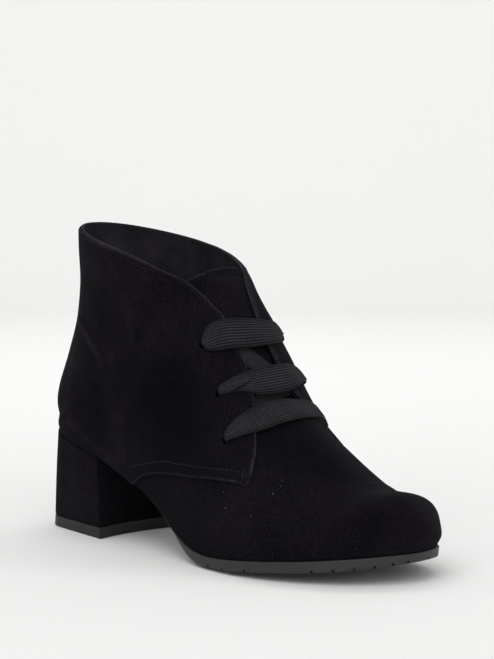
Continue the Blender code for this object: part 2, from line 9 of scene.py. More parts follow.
import bmesh
import bpy
import numpy as np
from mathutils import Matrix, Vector


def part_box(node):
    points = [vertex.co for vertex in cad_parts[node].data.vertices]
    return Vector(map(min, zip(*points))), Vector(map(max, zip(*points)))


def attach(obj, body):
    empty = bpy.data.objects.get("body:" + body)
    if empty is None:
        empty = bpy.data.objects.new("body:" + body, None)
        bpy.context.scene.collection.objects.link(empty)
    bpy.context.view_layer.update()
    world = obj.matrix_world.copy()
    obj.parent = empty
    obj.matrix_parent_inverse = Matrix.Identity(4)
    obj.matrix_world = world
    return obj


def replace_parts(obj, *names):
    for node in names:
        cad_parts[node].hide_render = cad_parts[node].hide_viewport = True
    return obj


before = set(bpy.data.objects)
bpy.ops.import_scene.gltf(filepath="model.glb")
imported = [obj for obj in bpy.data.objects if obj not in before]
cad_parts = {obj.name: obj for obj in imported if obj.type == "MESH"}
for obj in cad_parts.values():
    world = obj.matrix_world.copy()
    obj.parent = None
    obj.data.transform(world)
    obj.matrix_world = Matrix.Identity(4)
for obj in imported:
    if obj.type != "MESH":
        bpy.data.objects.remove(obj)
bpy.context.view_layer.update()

# ---------------------------------------------------------------- driving sizes
MM = 0.001
WALL = 2.0            # suede and lining of the upper
GAP = 0.3             # between neighbouring pieces
TIP_SHIFT = 4.0       # the tip of the toe lies this far to the inner side
SHIFT_FROM = 165.0    # where the toe starts to turn inward
SOLE_PROUD = 0.9      # outsole past the edge of the upper
SOLE_TUCK = 1.6       # it is this much narrower on each side under the arch
SOLE_LEAST = 1.0      # its thickness there
SEAT_PROUD = 0.8      # heel cover past the edge of the upper
SOLE_EDGE_LIFT = 1.5  # the outsole's rim rises this far from its flat middle
INSOLE_INSET = 3.2
INSOLE_THICK = 2.5
LIFT_THICK = 6.0      # rubber top piece of the heel
HEEL_BACK = -4.3      # u of the heel's back at the floor
HEEL_FRONT = 56.2     # u of the breast's corners at the floor
HEEL_FRONT_TOP = 56.6 # u of the breast's corners under the seat
HEEL_HALF = 29.1      # half width at the breast, at the floor
HEEL_TAPER = math.radians(9.5)
HEEL_ROUND = 17.0     # length of the rounded back
BREAST_HOLLOW = 3.8   # depth of the concave breast
TONGUE_DEPTH = 3.6    # outer face of the tongue under the line of the upper
TONGUE_THICK = 2.6
TONGUE_BACK = 3.6     # middle of the tongue past the last section of the upper, backward
TONGUE_RISE = 4.8     # and upward
LACE_THICK = 1.7
LACE_WIDTH = 14.0
CROSS_TOP = 2.3       # upper face of the crossings under the line of the upper
CROSS_THICK = 0.9
CROSS_WIDTH = 8.0

# lower edge of the upper: half widths to the outer and inner side, and its height
OUTLINE_COLS = ("u", "out", "in_", "z")
OUTLINE = [
    (5.6, 0.0, 0.0, 55.4),
    (7.8, 12.0, 12.0, 54.9),
    (13.4, 21.5, 21.5, 53.3),
    (25.0, 27.8, 27.4, 50.2),
    (45.0, 30.3, 29.5, 45.3),
    (63.0, 30.5, 28.5, 40.2),
    (85.0, 31.0, 25.5, 32.6),
    (110.0, 34.0, 26.0, 20.0),
    (128.0, 38.0, 30.0, 11.4),
    (140.0, 41.0, 34.0, 7.9),
    (155.0, 43.8, 39.0, 6.8),
    (170.0, 44.8, 42.0, 7.6),
    (185.0, 43.6, 43.0, 8.9),
    (200.0, 40.0, 41.8, 10.2),
    (214.0, 34.0, 38.0, 11.6),
    (226.0, 26.0, 31.5, 12.9),
    (234.0, 17.5, 24.0, 13.8),
    (239.5, 8.5, 14.0, 14.4),
    (242.0, 0.0, 0.0, 14.6),
]

# sections of the upper, each in a plane through its lower point and its point on the crest;
# a_max is the share of the height where the section is widest, p the squareness below and above it
SECTION_COLS = ("name", "u_bot", "z_bot", "u_top", "z_top", "out_max", "in_max", "a_max", "p_low", "p_top", "x_top")
SECTIONS = [
    ("tip", 242.0, None, 242.0, 14.6, 0.0, 0.0, 0.25, 2.0, 1.0, 4.0),
    ("toe_wall", 237.5, None, 243.6, 24.6, 13.2, 18.7, 0.25, 2.0, 1.1, 4.0),
    ("toe_crown", 229.0, None, 239.3, 33.8, 24.3, 29.8, 0.25, 2.0, 1.3, 4.0),
    ("toe_box", 217.0, None, 229.0, 39.4, 34.0, 37.9, 0.25, 2.0, 1.9, 4.0),
    ("toe_back", 202.0, None, 212.5, 40.4, 41.0, 42.3, 0.26, 2.0, 1.65, 3.8),
    ("ball_fore", 184.0, None, 195.8, 48.6, 45.6, 43.5, 0.27, 2.0, 1.7, 3.6),
    ("ball", 164.0, None, 180.6, 58.7, 46.0, 42.7, 0.27, 2.0, 2.05, 3.4),
    ("vamp", 144.0, None, 168.2, 67.6, 43.5, 41.0, 0.28, 2.0, 2.35, 3.0),
    ("instep", 122.0, None, 158.9, 76.8, 39.5, 41.8, 0.30, 2.0, 2.8, 2.6),
    ("waist", 100.0, None, 151.8, 87.8, 36.5, 41.8, 0.32, 2.0, 3.1, 2.3),
    ("breast", 75.0, None, 145.4, 98.5, 34.2, 41.5, 0.34, 2.0, 3.35, 2.2),
    ("seat_fore", 50.0, None, 139.4, 107.9, 33.5, 41.0, 0.36, 2.0, 3.5, 2.2),
    ("seat", 25.0, None, 135.4, 116.6, 33.0, 40.5, 0.38, 2.15, 3.5, 2.2),
    ("seat_back", 9.4, None, 132.3, 121.8, 32.85, 40.1, 0.395, 2.5, 3.42, 2.2),
    ("rear", 5.6, 55.4, 130.0, 125.2, 32.8, 40.0, 0.40, 2.6, 3.38, 2.2),
    ("counter", 1.3, 68.0, 126.8, 129.8, 32.7, 39.6, 0.42, 2.35, 3.25, 2.2),
    ("counter_top", 5.6, 88.0, 123.6, 133.6, 32.7, 39.1, 0.44, 1.95, 3.1, 2.1),
    ("ankle", 14.8, 110.0, 120.3, 136.6, 33.0, 38.6, 0.455, 1.75, 2.9, 2.0),
    ("shaft", 18.7, 135.0, 116.9, 138.5, 33.8, 38.2, 0.468, 1.7, 2.7, 1.9),
    ("collar", 18.5, 162.5, 113.9, 140.1, 34.6, 37.8, 0.48, 1.65, 2.45, 1.8),
]

# rounded back of the heel and shaft by height: half widths, length from the back to the widest point, and squareness of the curve
BACK_COLS = ("z", "out", "in_", "reach", "p")
BACK = [
    (42.0, 30.5, 28.8, 44.0, 2.95),
    (52.6, 31.6, 31.8, 46.0, 2.85),
    (68.0, 32.5, 36.8, 50.0, 2.4),
    (88.0, 32.7, 38.9, 50.0, 2.0),
    (110.0, 33.0, 38.6, 48.0, 1.78),
    (135.0, 33.8, 38.2, 46.0, 1.7),
    (162.5, 34.6, 37.8, 45.0, 1.72),
]

# edges of the throat and the front of the collar: length of surface from the crest to the outer and to the inner edge
FACING_COLS = ("s", "out", "in_")
FACING = [
    (7.74, 20.6, 16.0),
    (8.2, 17.8, 12.6),
    (8.6, 16.0, 10.4),
    (9.6, 13.2, 7.8),
    (10.4, 12.4, 6.9),
    (12.3, 13.8, 6.6),
    (14.2, 16.8, 8.6),
    (16.0, 20.9, 12.2),
    (17.2, 24.2, 16.8),
    (18.0, 29.2, 22.6),
    (18.6, 37.4, 34.0),
    (18.85, 45.6, 45.0),
    (18.95, 52.0, 53.0),
    (19.0, 60.0, 62.0),
]

# underside of the outsole along its middle
UNDER_COLS = ("u", "z")
UNDER = [
    (50.0, 42.6), (63.0, 38.9), (85.0, 31.5), (105.0, 21.2), (116.0, 14.9), (123.5, 10.2), (132.0, 4.4), (139.5, 1.3), (144.0, 0.3),
    (148.0, 0.0), (164.0, 0.0), (171.0, 0.5), (183.0, 1.6), (202.0, 3.1), (212.0, 4.0), (220.5, 4.9), (228.0, 6.0), (234.0, 7.0), (243.0, 8.7),
]

# lace holes: section, length of surface from the crest to the hole, and how far the bar between them dips in the throat
HOLE_COLS = ("row", "s", "arc", "sag")
HOLES = [("1", 11.4, 28.0, 1.0), ("2", 9.15, 29.8, 0.9), ("3", 7.6, 37.0, 0.0)]

# crossings of the lace under the bars: hole row they start from at the outer side, and row they reach at the inner side
# which side of that hole they keep to, in sections
CROSS_COLS = ("name", "outer_row", "inner_row", "keep")
CROSSINGS = [("lace_cross_1", 0, 1, 0.42), ("lace_cross_2", 2, 1, -0.42)]

# half width of the tongue along its sections
TONGUE_COLS = ("s", "half")
TONGUE = [(7.0, 20.0), (8.0, 23.0), (11.0, 23.5), (14.0, 25.5), (16.0, 29.5), (19.0, 33.0)]
# its top edge from the outer to the inner side: share of the half width, last section, share of the rise past it
TONGUE_TOP_COLS = ("v", "s", "lift")
TONGUE_TOP = [
    (-1.0, 15.6, 0.0), (-0.87, 16.55, 0.0), (-0.74, 17.25, 0.0), (-0.53, 18.0, 0.0), (-0.33, 18.75, 0.12), (-0.1, 18.95, 0.55),
    (0.18, 18.95, 0.74), (0.45, 18.95, 0.52), (0.62, 18.92, 0.3), (0.77, 18.75, 0.1), (0.88, 18.2, 0.0), (1.0, 17.0, 0.0),
]


# ---------------------------------------------------------------- curves
def columns(rows, names):
    return {name: [row[i] for row in rows] for i, name in enumerate(names)}


def hermite(xs, ys, m):
    def curve(x):
        x = np.clip(np.asarray(x, float), xs[0], xs[-1])
        i = np.clip(np.searchsorted(xs, x, side="right") - 1, 0, len(xs) - 2)
        h = xs[i + 1] - xs[i]
        t = (x - xs[i]) / h
        return ys[i] * (1 + 2 * t) * (1 - t) ** 2 + m[i] * h * t * (1 - t) ** 2 + ys[i + 1] * t * t * (3 - 2 * t) + m[i + 1] * h * t * t * (t - 1)
    return curve


def monotone(xs, ys):
    """Smooth curve through the rows that never swings past them."""
    xs, ys = np.asarray(xs, float), np.asarray(ys, float)
    h = np.diff(xs)
    d = np.diff(ys) / h
    m = np.zeros(len(xs))
    for i in range(1, len(xs) - 1):
        if d[i - 1] * d[i] > 0:
            a, b = 2 * h[i] + h[i - 1], h[i] + 2 * h[i - 1]
            m[i] = (a + b) / (a / d[i - 1] + b / d[i])
    m[0], m[-1] = d[0], d[-1]
    return hermite(xs, ys, m)


def spline(xs, ys):
    """Natural cubic through the rows."""
    xs, ys = np.asarray(xs, float), np.asarray(ys, float)
    n, h = len(xs), np.diff(xs)
    d = np.diff(ys) / h
    a, r = np.zeros((n, n)), np.zeros(n)
    a[0, 0], a[0, 1], r[0] = 2, 1, 3 * d[0]
    a[-1, -1], a[-1, -2], r[-1] = 2, 1, 3 * d[-1]
    for i in range(1, n - 1):
        a[i, i - 1], a[i, i], a[i, i + 1] = h[i], 2 * (h[i] + h[i - 1]), h[i - 1]
        r[i] = 3 * (h[i] * d[i - 1] + h[i - 1] * d[i])
    return hermite(xs, ys, np.linalg.solve(a, r))


def ease(a, b, x):
    t = np.clip((np.asarray(x, float) - a) / (b - a), 0, 1)
    return t * t * (3 - 2 * t)


def lengths(p):
    return np.concatenate([[0], np.cumsum(np.linalg.norm(np.diff(p, axis=0), axis=1))])


def walk(p, at):
    """Points of the polyline p at the given lengths from its start."""
    d = lengths(p)
    return np.stack([np.interp(at, d, p[:, i]) for i in range(p.shape[1])], -1)


# ---------------------------------------------------------------- the last
o = columns(OUTLINE, OUTLINE_COLS)
c = columns(SECTIONS, SECTION_COLS)
NAMES = c["name"]
TOE = o["u"][-1]
S_END = len(SECTIONS) - 1.0
S_REAR = float(NAMES.index("rear"))
rows = np.arange(len(SECTIONS))
out_sq, in_sq = monotone(o["u"], np.square(o["out"])), monotone(o["u"], np.square(o["in_"]))
feather_z = spline(o["u"], o["z"])
bot_u = spline(rows, c["u_bot"])
bot_z = spline(rows, [feather_z(u) if z is None else z for u, z in zip(c["u_bot"], c["z_bot"])])
top_u, top_z = spline(rows, c["u_top"]), spline(rows, c["z_top"])
out_max_sq, in_max_sq = monotone(rows, np.square(c["out_max"])), monotone(rows, np.square(c["in_max"]))
a_max, p_low, p_top, x_top = (monotone(rows, c[k]) for k in ("a_max", "p_low", "p_top", "x_top"))


k_back = columns(BACK, BACK_COLS)
back_width = {-1: monotone(k_back["z"], k_back["out"]), 1: monotone(k_back["z"], k_back["in_"])}
back_reach, back_p = monotone(k_back["z"], k_back["reach"]), monotone(k_back["z"], k_back["p"])
back_u = spline([42.0] + [z for z in c["z_bot"] if z is not None], [6.6] + [u for u, z in zip(c["u_bot"], c["z_bot"]) if z is not None])


def x_mid(u):
    return TIP_SHIFT * np.clip((np.asarray(u, float) - SHIFT_FROM) / (TOE - SHIFT_FROM), 0, 1) ** 1.6


def ends(s):
    """Lower point and crest point of section s, as (u, z)."""
    u = float(bot_u(s))
    z = float(bot_z(s)) if s >= S_REAR else float(feather_z(u))
    return np.array([u, z]), np.array([float(top_u(s)), float(top_z(s))])


def half(s, side, n=160):
    """One half of section s, from its lower point to the crest; side -1 is the outer half, +1 the inner."""
    (ub, zb), (ut, zt) = ends(s)
    xb, xt = float(x_mid(ub)), float(x_top(s))
    base = 0.0 if s >= S_REAR else float(max((out_sq if side < 0 else in_sq)(ub), 0.0))
    widest = max(float((out_max_sq if side < 0 else in_max_sq)(s)), base, 1e-9)
    am, k = float(a_max(s)), n // 2
    t = np.linspace(math.pi / 2, 0, k, endpoint=False)
    a_lower, f_lower = am * (1 - np.sin(t) ** (2 / float(p_low(s)))), np.sqrt(1 - (1 - base / widest) * np.sin(t) ** 2)
    t = np.linspace(0, math.pi / 2, n - k)
    a_upper, f_upper = am + (1 - am) * np.sin(t) ** (2 / float(p_top(s))), np.cos(t)
    a, f = np.concatenate([a_lower, a_upper]), np.concatenate([f_lower, f_upper])
    u, z = ub + (ut - ub) * a, zb + (zt - zb) * a
    # round the back, the width follows the curve of the heel at that height
    from_back = np.maximum(u - back_u(z) - (ub - back_u(zb) if s >= S_REAR else 0.0), 0.0)
    from_back[0] = 0.0 if s >= S_REAR else from_back[0]
    round_sq = back_width[side](z) ** 2 * (1 - np.maximum(1 - from_back / back_reach(z), 0.0) ** back_p(z))
    round_w = np.sqrt(round_sq)
    round_w = round_w + (math.sqrt(base) - round_w[0]) * (1 - ease(0.0, 0.35, a))
    share = 1 - ease(24.0, 72.0, from_back)
    width = np.sqrt(widest * f * f * (1 - share) + round_w ** 2 * share)
    return np.stack([xb + (xt - xb) * a + side * width, u, z], -1)


S_THROAT = FACING[0][0]
facing_arc = {-1: monotone([r[0] for r in FACING], [r[1] for r in FACING]), 1: monotone([r[0] for r in FACING], [r[2] for r in FACING])}


def rim_length(s, h):
    """Length along the half section h from its lower point to the facing or collar edge."""
    side = -1 if h[80, 0] < x_top(s) else 1
    full = lengths(h)[-1]
    if s < S_THROAT:
        g = half(S_THROAT, side)
        return full * rim_length(S_THROAT, g) / lengths(g)[-1]
    return full - float(facing_arc[side](s))


def on_last(s, arc):
    """Point of the upper's outer surface on section s, at this length from the crest; negative arcs are the outer side."""
    h = half(s, -1 if arc < 0 else 1)[::-1]
    return walk(h, np.array([abs(arc)]))[0]


def outward(s, arc):
    e, f = 0.03, 0.4
    n = np.cross(on_last(min(s + e, S_END), arc) - on_last(s - e, arc), on_last(s, arc + f) - on_last(s, arc - f))
    b, t = ends(s)
    m = (b + t) / 2
    n = n / np.linalg.norm(n)
    return n if np.dot(n, on_last(s, arc) - np.array([float(x_top(s)), m[0], m[1]])) > 0 else -n


def step_s(s):
    """Length along the crest for one unit of s."""
    return float(np.hypot(top_u(s + 0.05) - top_u(s - 0.05), top_z(s + 0.05) - top_z(s - 0.05)) / 0.1)


# ---------------------------------------------------------------- meshes
def weld(verts, faces):
    """Points that coincide made one, and the faces that collapse left out."""
    verts = np.asarray(verts, float)
    _, first, index = np.unique(np.round(verts, 4), axis=0, return_index=True, return_inverse=True)
    index = index.reshape(-1)
    kept = []
    for face in faces:
        ids = [int(index[i]) for i in face]
        ids = [v for k, v in enumerate(ids) if v != ids[k - 1]]
        if len(ids) > 2:
            kept.append(ids)
    return verts[first], kept


def volume(verts, faces):
    total = 0.0
    for f in faces:
        for k in range(1, len(f) - 1):
            total += np.dot(verts[f[0]], np.cross(verts[f[k]], verts[f[k + 1]]))
    return total / 6


def closed(verts, faces):
    verts, faces = weld(verts, faces)
    return (verts, faces) if volume(verts, faces) > 0 else (verts, [f[::-1] for f in faces])


def slab(top, bottom):
    """Solid between two grids of the same size, with walls round their edges."""
    n, k = top.shape[:2]
    verts = np.concatenate([top.reshape(-1, 3), bottom.reshape(-1, 3)])
    at = lambda i, j, low: low * n * k + i * k + j
    faces = []
    for i in range(n - 1):
        for j in range(k - 1):
            faces.append((at(i, j, 0), at(i + 1, j, 0), at(i + 1, j + 1, 0), at(i, j + 1, 0)))
            faces.append((at(i, j, 1), at(i, j + 1, 1), at(i + 1, j + 1, 1), at(i + 1, j, 1)))
    ring = [(i, 0) for i in range(n - 1)] + [(n - 1, j) for j in range(k - 1)] + [(i, k - 1) for i in range(n - 1, 0, -1)] + [(0, j) for j in range(k - 1, 0, -1)]
    for (a, b), (e, f) in zip(ring, ring[1:] + ring[:1]):
        faces.append((at(a, b, 0), at(a, b, 1), at(e, f, 1), at(e, f, 0)))
    return closed(verts, faces)


def vertex_normals(verts, faces):
    n = np.zeros_like(verts)
    for f in faces:
        p = verts[list(f)]
        v = np.cross(p[2 % len(p)] - p[0], p[-1] - p[1]) if len(p) == 4 else np.cross(p[1] - p[0], p[2] - p[0])
        for i in f:
            n[i] += v
    return n / np.maximum(np.linalg.norm(n, axis=1), 1e-12)[:, None]


def shell(verts, faces, wall, floor_z):
    """Hollow solid: the outer skin, an inner skin one wall inside it, and the edges closed between them."""
    verts, faces = weld(verts, faces)
    inner = verts - wall * vertex_normals(verts, faces)
    edge_faces = {}
    for f in faces:
        for a, b in zip(f, f[1:] + f[:1]):
            edge_faces.setdefault((min(a, b), max(a, b)), []).append((a, b))
    for edge in (e[0] for e in edge_faces.values() if len(e) == 1):
        for i in edge:
            inner[i, 2] = max(inner[i, 2], floor_z(verts[i]))
    n = len(verts)
    result = list(faces) + [[i + n for i in f[::-1]] for f in faces]
    result += [[b, a, a + n, b + n] for (a, b) in (e[0] for e in edge_faces.values() if len(e) == 1)]
    return np.concatenate([verts, inner]), result


# ---------------------------------------------------------------- plan outlines
def offset_edges(d, n=500):
    """The lower outline moved outward by d: functions of u for its outer and inner edge, and its range of u."""
    t = np.linspace(0, math.pi, n)
    u = o["u"][0] + (TOE - o["u"][0]) * (1 - np.cos(t)) / 2
    outer = np.stack([x_mid(u) - np.sqrt(np.maximum(out_sq(u), 0)), u], -1)
    inner = np.stack([x_mid(u) + np.sqrt(np.maximum(in_sq(u), 0)), u], -1)
    loop = np.concatenate([outer, inner[-2:0:-1]])
    tangent = np.roll(loop, -1, 0) - np.roll(loop, 1, 0)
    normal = np.stack([-tangent[:, 1], tangent[:, 0]], -1)
    loop = loop + d * normal / np.linalg.norm(normal, axis=1)[:, None]
    back, tip = int(np.argmin(loop[:, 1])), int(np.argmax(loop[:, 1]))
    k = len(loop)
    first = np.array([loop[(back + i) % k] for i in range((tip - back) % k + 1)])
    second = np.array([loop[(back - i) % k] for i in range((back - tip) % k + 1)])
    a, b = (first, second) if first[len(first) // 2, 0] < second[len(second) // 2, 0] else (second, first)
    return (lambda v: np.interp(v, np.maximum.accumulate(a[:, 1]), a[:, 0]), lambda v: np.interp(v, np.maximum.accumulate(b[:, 1]), b[:, 0]),
            float(loop[back, 1]), float(loop[tip, 1]))


def stations(lo, hi, n, round_lo, round_hi):
    """Values from lo to hi, closer together at a rounded end."""
    t = np.linspace(0, 1, n)
    if round_lo and round_hi:
        t = (1 - np.cos(math.pi * t)) / 2
    elif round_lo:
        t = 1 - np.cos(math.pi / 2 * t)
    elif round_hi:
        t = np.sin(math.pi / 2 * t)
    return lo + (hi - lo) * t


def hollow(share, x_rel):
    """How far the breast's curve pulls a point back, from the corner to the middle."""
    return -BREAST_HOLLOW * ease(0.35, 1.0, share) * (1 - x_rel ** 2)


def heel_edges(share, front, back):
    """Half width of the heel's plan at the floor."""
    u = back + (front - back) * share
    w = HEEL_HALF - math.tan(HEEL_TAPER) * (front - u)
    return w * math.sqrt(max(1 - max((back + HEEL_ROUND - u) / HEEL_ROUND, 0.0) ** 2.3, 0.0))


def heel_grid(shares, k, level, z):
    """Grid of the heel's plan: level 0 at the floor, 1 at the seat, with z a function of u."""
    e_out, e_in, seat_back, _ = offset_edges(SEAT_PROUD)
    grid = []
    for share in shares:
        low_u = HEEL_BACK + (HEEL_FRONT - HEEL_BACK) * share
        high_u = seat_back + (HEEL_FRONT_TOP - seat_back) * share
        w = heel_edges(share, HEEL_FRONT, HEEL_BACK)
        row = []
        for r in np.linspace(-1, 1, k):
            low_x = r * w
            high_x = (e_out(high_u) + e_in(high_u)) / 2 + r * (e_in(high_u) - e_out(high_u)) / 2
            u = low_u + (high_u - low_u) * level + hollow(share, r)
            row.append((low_x + (high_x - low_x) * level, u, z(u)))
        grid.append(row)
    return np.array(grid)


# ---------------------------------------------------------------- the last as a lattice
S_ROWS = np.concatenate([np.linspace(0.02, 1, 40, endpoint=False), np.linspace(1, S_END, 721)])
HALF_COLS = 181


def unit(v):
    return v / np.maximum(np.linalg.norm(v, axis=-1, keepdims=True), 1e-12)


def build_lattice():
    """Points of every section from the outer lower edge over the crest to the inner lower edge, their normals, and the half lengths."""
    rows, out_len, in_len = [], [], []
    for s in S_ROWS:
        outer, inner = half(s, -1, 240), half(s, 1, 240)
        lo, li = lengths(outer)[-1], lengths(inner)[-1]
        rows.append(np.concatenate([walk(outer, np.linspace(0, lo, HALF_COLS)), walk(inner, np.linspace(0, li, HALF_COLS))[::-1][1:]]))
        out_len.append(lo)
        in_len.append(li)
    points = np.array(rows)
    normals = unit(np.cross(np.gradient(points, axis=0), np.gradient(points, axis=1)))
    if normals[len(S_ROWS) // 2, HALF_COLS, 2] < 0:
        normals = -normals
    rear = S_ROWS >= S_REAR
    middle = normals[rear, 0] + normals[rear, -1]
    middle[:, 0] = 0.0
    normals[rear, 0] = normals[rear, -1] = unit(middle)
    return points, normals, np.array(out_len), np.array(in_len)


POINTS, NORMALS, OUT_LEN, IN_LEN = build_lattice()


def half_length(s, side):
    return np.interp(s, S_ROWS, OUT_LEN if side < 0 else IN_LEN)


def surf(s, arc):
    """Points and normals of the last at sections s and lengths arc from the crest, negative to the outer side."""
    s, arc = np.broadcast_arrays(np.asarray(s, float), np.asarray(arc, float))
    i = np.interp(s, S_ROWS, np.arange(len(S_ROWS)))
    t = np.where(arc < 0, arc / half_length(s, -1), arc / half_length(s, 1))
    j = (np.clip(t, -1, 1) + 1) * (HALF_COLS - 1)
    i0, j0 = np.minimum(i.astype(int), len(S_ROWS) - 2), np.minimum(j.astype(int), 2 * HALF_COLS - 3)
    a, b = (i - i0)[..., None], (j - j0)[..., None]
    mix = lambda g: (g[i0, j0] * (1 - b) + g[i0, j0 + 1] * b) * (1 - a) + (g[i0 + 1, j0] * (1 - b) + g[i0 + 1, j0 + 1] * b) * a
    return mix(POINTS), unit(mix(NORMALS))


def pace(s, arc):
    """Millimetres of surface for one unit of s."""
    e = 0.06
    a, _ = surf(np.minimum(np.asarray(s) + e, S_END), arc)
    b, _ = surf(np.asarray(s) - e, arc)
    return np.linalg.norm(a - b, axis=-1) / (np.minimum(np.asarray(s) + e, S_END) - np.asarray(s) + e)


def distance(points, line):
    """Distance of each point to the nearest point of a dense polyline, and that point's place along it from 0 to 1."""
    flat = points.reshape(-1, 3)
    best, where = np.empty(len(flat)), np.empty(len(flat))
    for k in range(0, len(flat), 4000):
        d = np.linalg.norm(flat[k:k + 4000, None] - line[None], axis=-1)
        i = d.argmin(1)
        best[k:k + 4000], where[k:k + 4000] = d[np.arange(len(i)), i], i / max(len(line) - 1, 1)
    return best.reshape(points.shape[:-1]), where.reshape(points.shape[:-1])


def dense(points, step=0.6):
    points = np.asarray(points, float)
    total = lengths(points)[-1]
    return walk(points, np.linspace(0, total, max(int(total / step), 2)))


def curve_on(rows, step=0.6):
    """Smooth line on the last through rows of (s, arc)."""
    rows = np.array(rows, float)
    k = np.arange(len(rows))
    t = np.linspace(0, len(rows) - 1, 40 * len(rows))
    s, arc = spline(k, rows[:, 0])(t), spline(k, rows[:, 1])(t)
    p, _ = surf(s, arc)
    at = np.linspace(0, lengths(p)[-1], max(int(lengths(p)[-1] / step), 8))
    d = lengths(p)
    return walk(p, at), np.interp(at, d, s), np.interp(at, d, arc)


# ---------------------------------------------------------------- creases and soft form
# main creases: line on the last as (s, arc) rows, height of the ridge (negative for a trough) and its half width in millimetres
CREASE_COLS = ("name", "rows", "height", "width")
CREASES = [
    ("counter_edge", [(17.1, -109.5), (16.78, -105.3), (16.28, -99.0), (15.48, -93.5), (14.52, -91.5), (13.2, -90.4), (12.2, -89.8)], 1.25, 1.45),
    ("counter_front", [(16.9, -100.0), (16.1, -92.0), (15.3, -87.5), (14.4, -86.0), (13.0, -85.0)], -0.4, 3.0),
    ("counter_edge_in", [(17.0, 112.0), (15.9, 98.0), (14.8, 94.0), (13.0, 92.0)], 0.55, 2.8),
    ("counter_front_in", [(16.8, 104.0), (15.7, 91.0), (14.6, 87.0), (13.0, 86.0)], -0.5, 4.4),
    ("cup_ridge", [(11.32, -87.5), (10.88, -91.5), (10.52, -98.0), (10.2, -102.0)], 0.45, 4.0),
    ("cup_hollow", [(12.6, -98.0), (11.9, -103.0), (11.3, -107.0)], -0.5, 7.0),
    ("shaft_bump", [(15.95, -60.0), (15.4, -61.0), (14.7, -62.5), (14.2, -65.0)], 0.8, 3.0),
    ("shaft_hollow", [(16.1, -52.5), (15.2, -54.0), (14.2, -56.5)], -0.35, 4.6),
    ("shaft_wave", [(18.3, -84.0), (17.3, -80.0), (16.2, -76.0)], -0.45, 6.0),
    ("shaft_in_1", [(16.6, 70.0), (15.4, 66.0), (14.0, 66.0)], 0.7, 4.5),
    ("shaft_in_2", [(17.6, 88.0), (16.2, 84.0), (15.0, 80.0)], -0.6, 6.0),
    ("ankle_front", [(11.9, -50.0), (11.1, -62.0), (10.6, -74.0)], -0.4, 6.5),
    ("ankle_front_in", [(11.9, 52.0), (11.1, 64.0), (10.6, 76.0)], -0.45, 6.5),
    ("vamp_flex_1", [(4.75, -30.0), (4.55, -16.0), (4.5, 0.0), (4.55, 16.0), (4.8, 30.0)], -0.3, 3.6),
    ("vamp_flex_2", [(5.45, -36.0), (5.2, -20.0), (5.15, -4.0), (5.25, 14.0)], -0.26, 4.0),
    ("vamp_flex_3", [(4.25, 2.0), (4.2, 14.0), (4.35, 27.0)], 0.26, 2.6),
    ("ball_fold", [(4.55, -58.0), (4.75, -66.0), (4.9, -74.0)], 0.4, 3.0),
    ("ball_fold_2", [(4.2, -56.0), (4.35, -64.0), (4.5, -72.0)], -0.35, 3.6),
    ("waist_pull", [(9.9, -72.0), (10.6, -92.0), (11.2, -108.0)], 0.35, 6.0),
]


def relief(points):
    """Height of the leather's soft form over the last."""
    total = np.zeros(points.shape[:-1])
    for _, rows, height, width in CREASES:
        line, _, _ = curve_on(rows, 1.2)
        d, t = distance(points, line)
        fade = ease(0.0, 0.25, t) * (1 - ease(0.75, 1.0, t))
        total += height * (0.25 + 0.75 * fade) * np.exp(-(d / width) ** 2) * (fade > 0.002)
    x, u, z = points[..., 0], points[..., 1], points[..., 2]
    wave = np.sin(0.083 * u + 0.051 * z + 0.9) * np.sin(0.047 * u - 0.094 * z + 0.063 * x + 0.4)
    wave2 = np.sin(0.19 * u + 0.13 * z + 0.11 * x) * np.sin(0.15 * z - 0.17 * u + 1.7)
    soft = ease(60, 90, z)
    return total + wave * (0.10 + 0.22 * soft) + wave2 * (0.05 + 0.07 * soft)


def crease_highlight_and_wear(points):
    """Painted highlight along the sharpest crease, where its ridge catches the light, with the nap also rubbed lighter
    there.
    """
    line, _, _ = curve_on(CREASES[0][1], 1.2)
    d, t = distance(points, line)
    return 0.85 * np.exp(-(d / (0.85 + 0.9 * t)) ** 2) * ease(0.0, 0.1, t) * (1 - ease(0.5, 0.95, t))
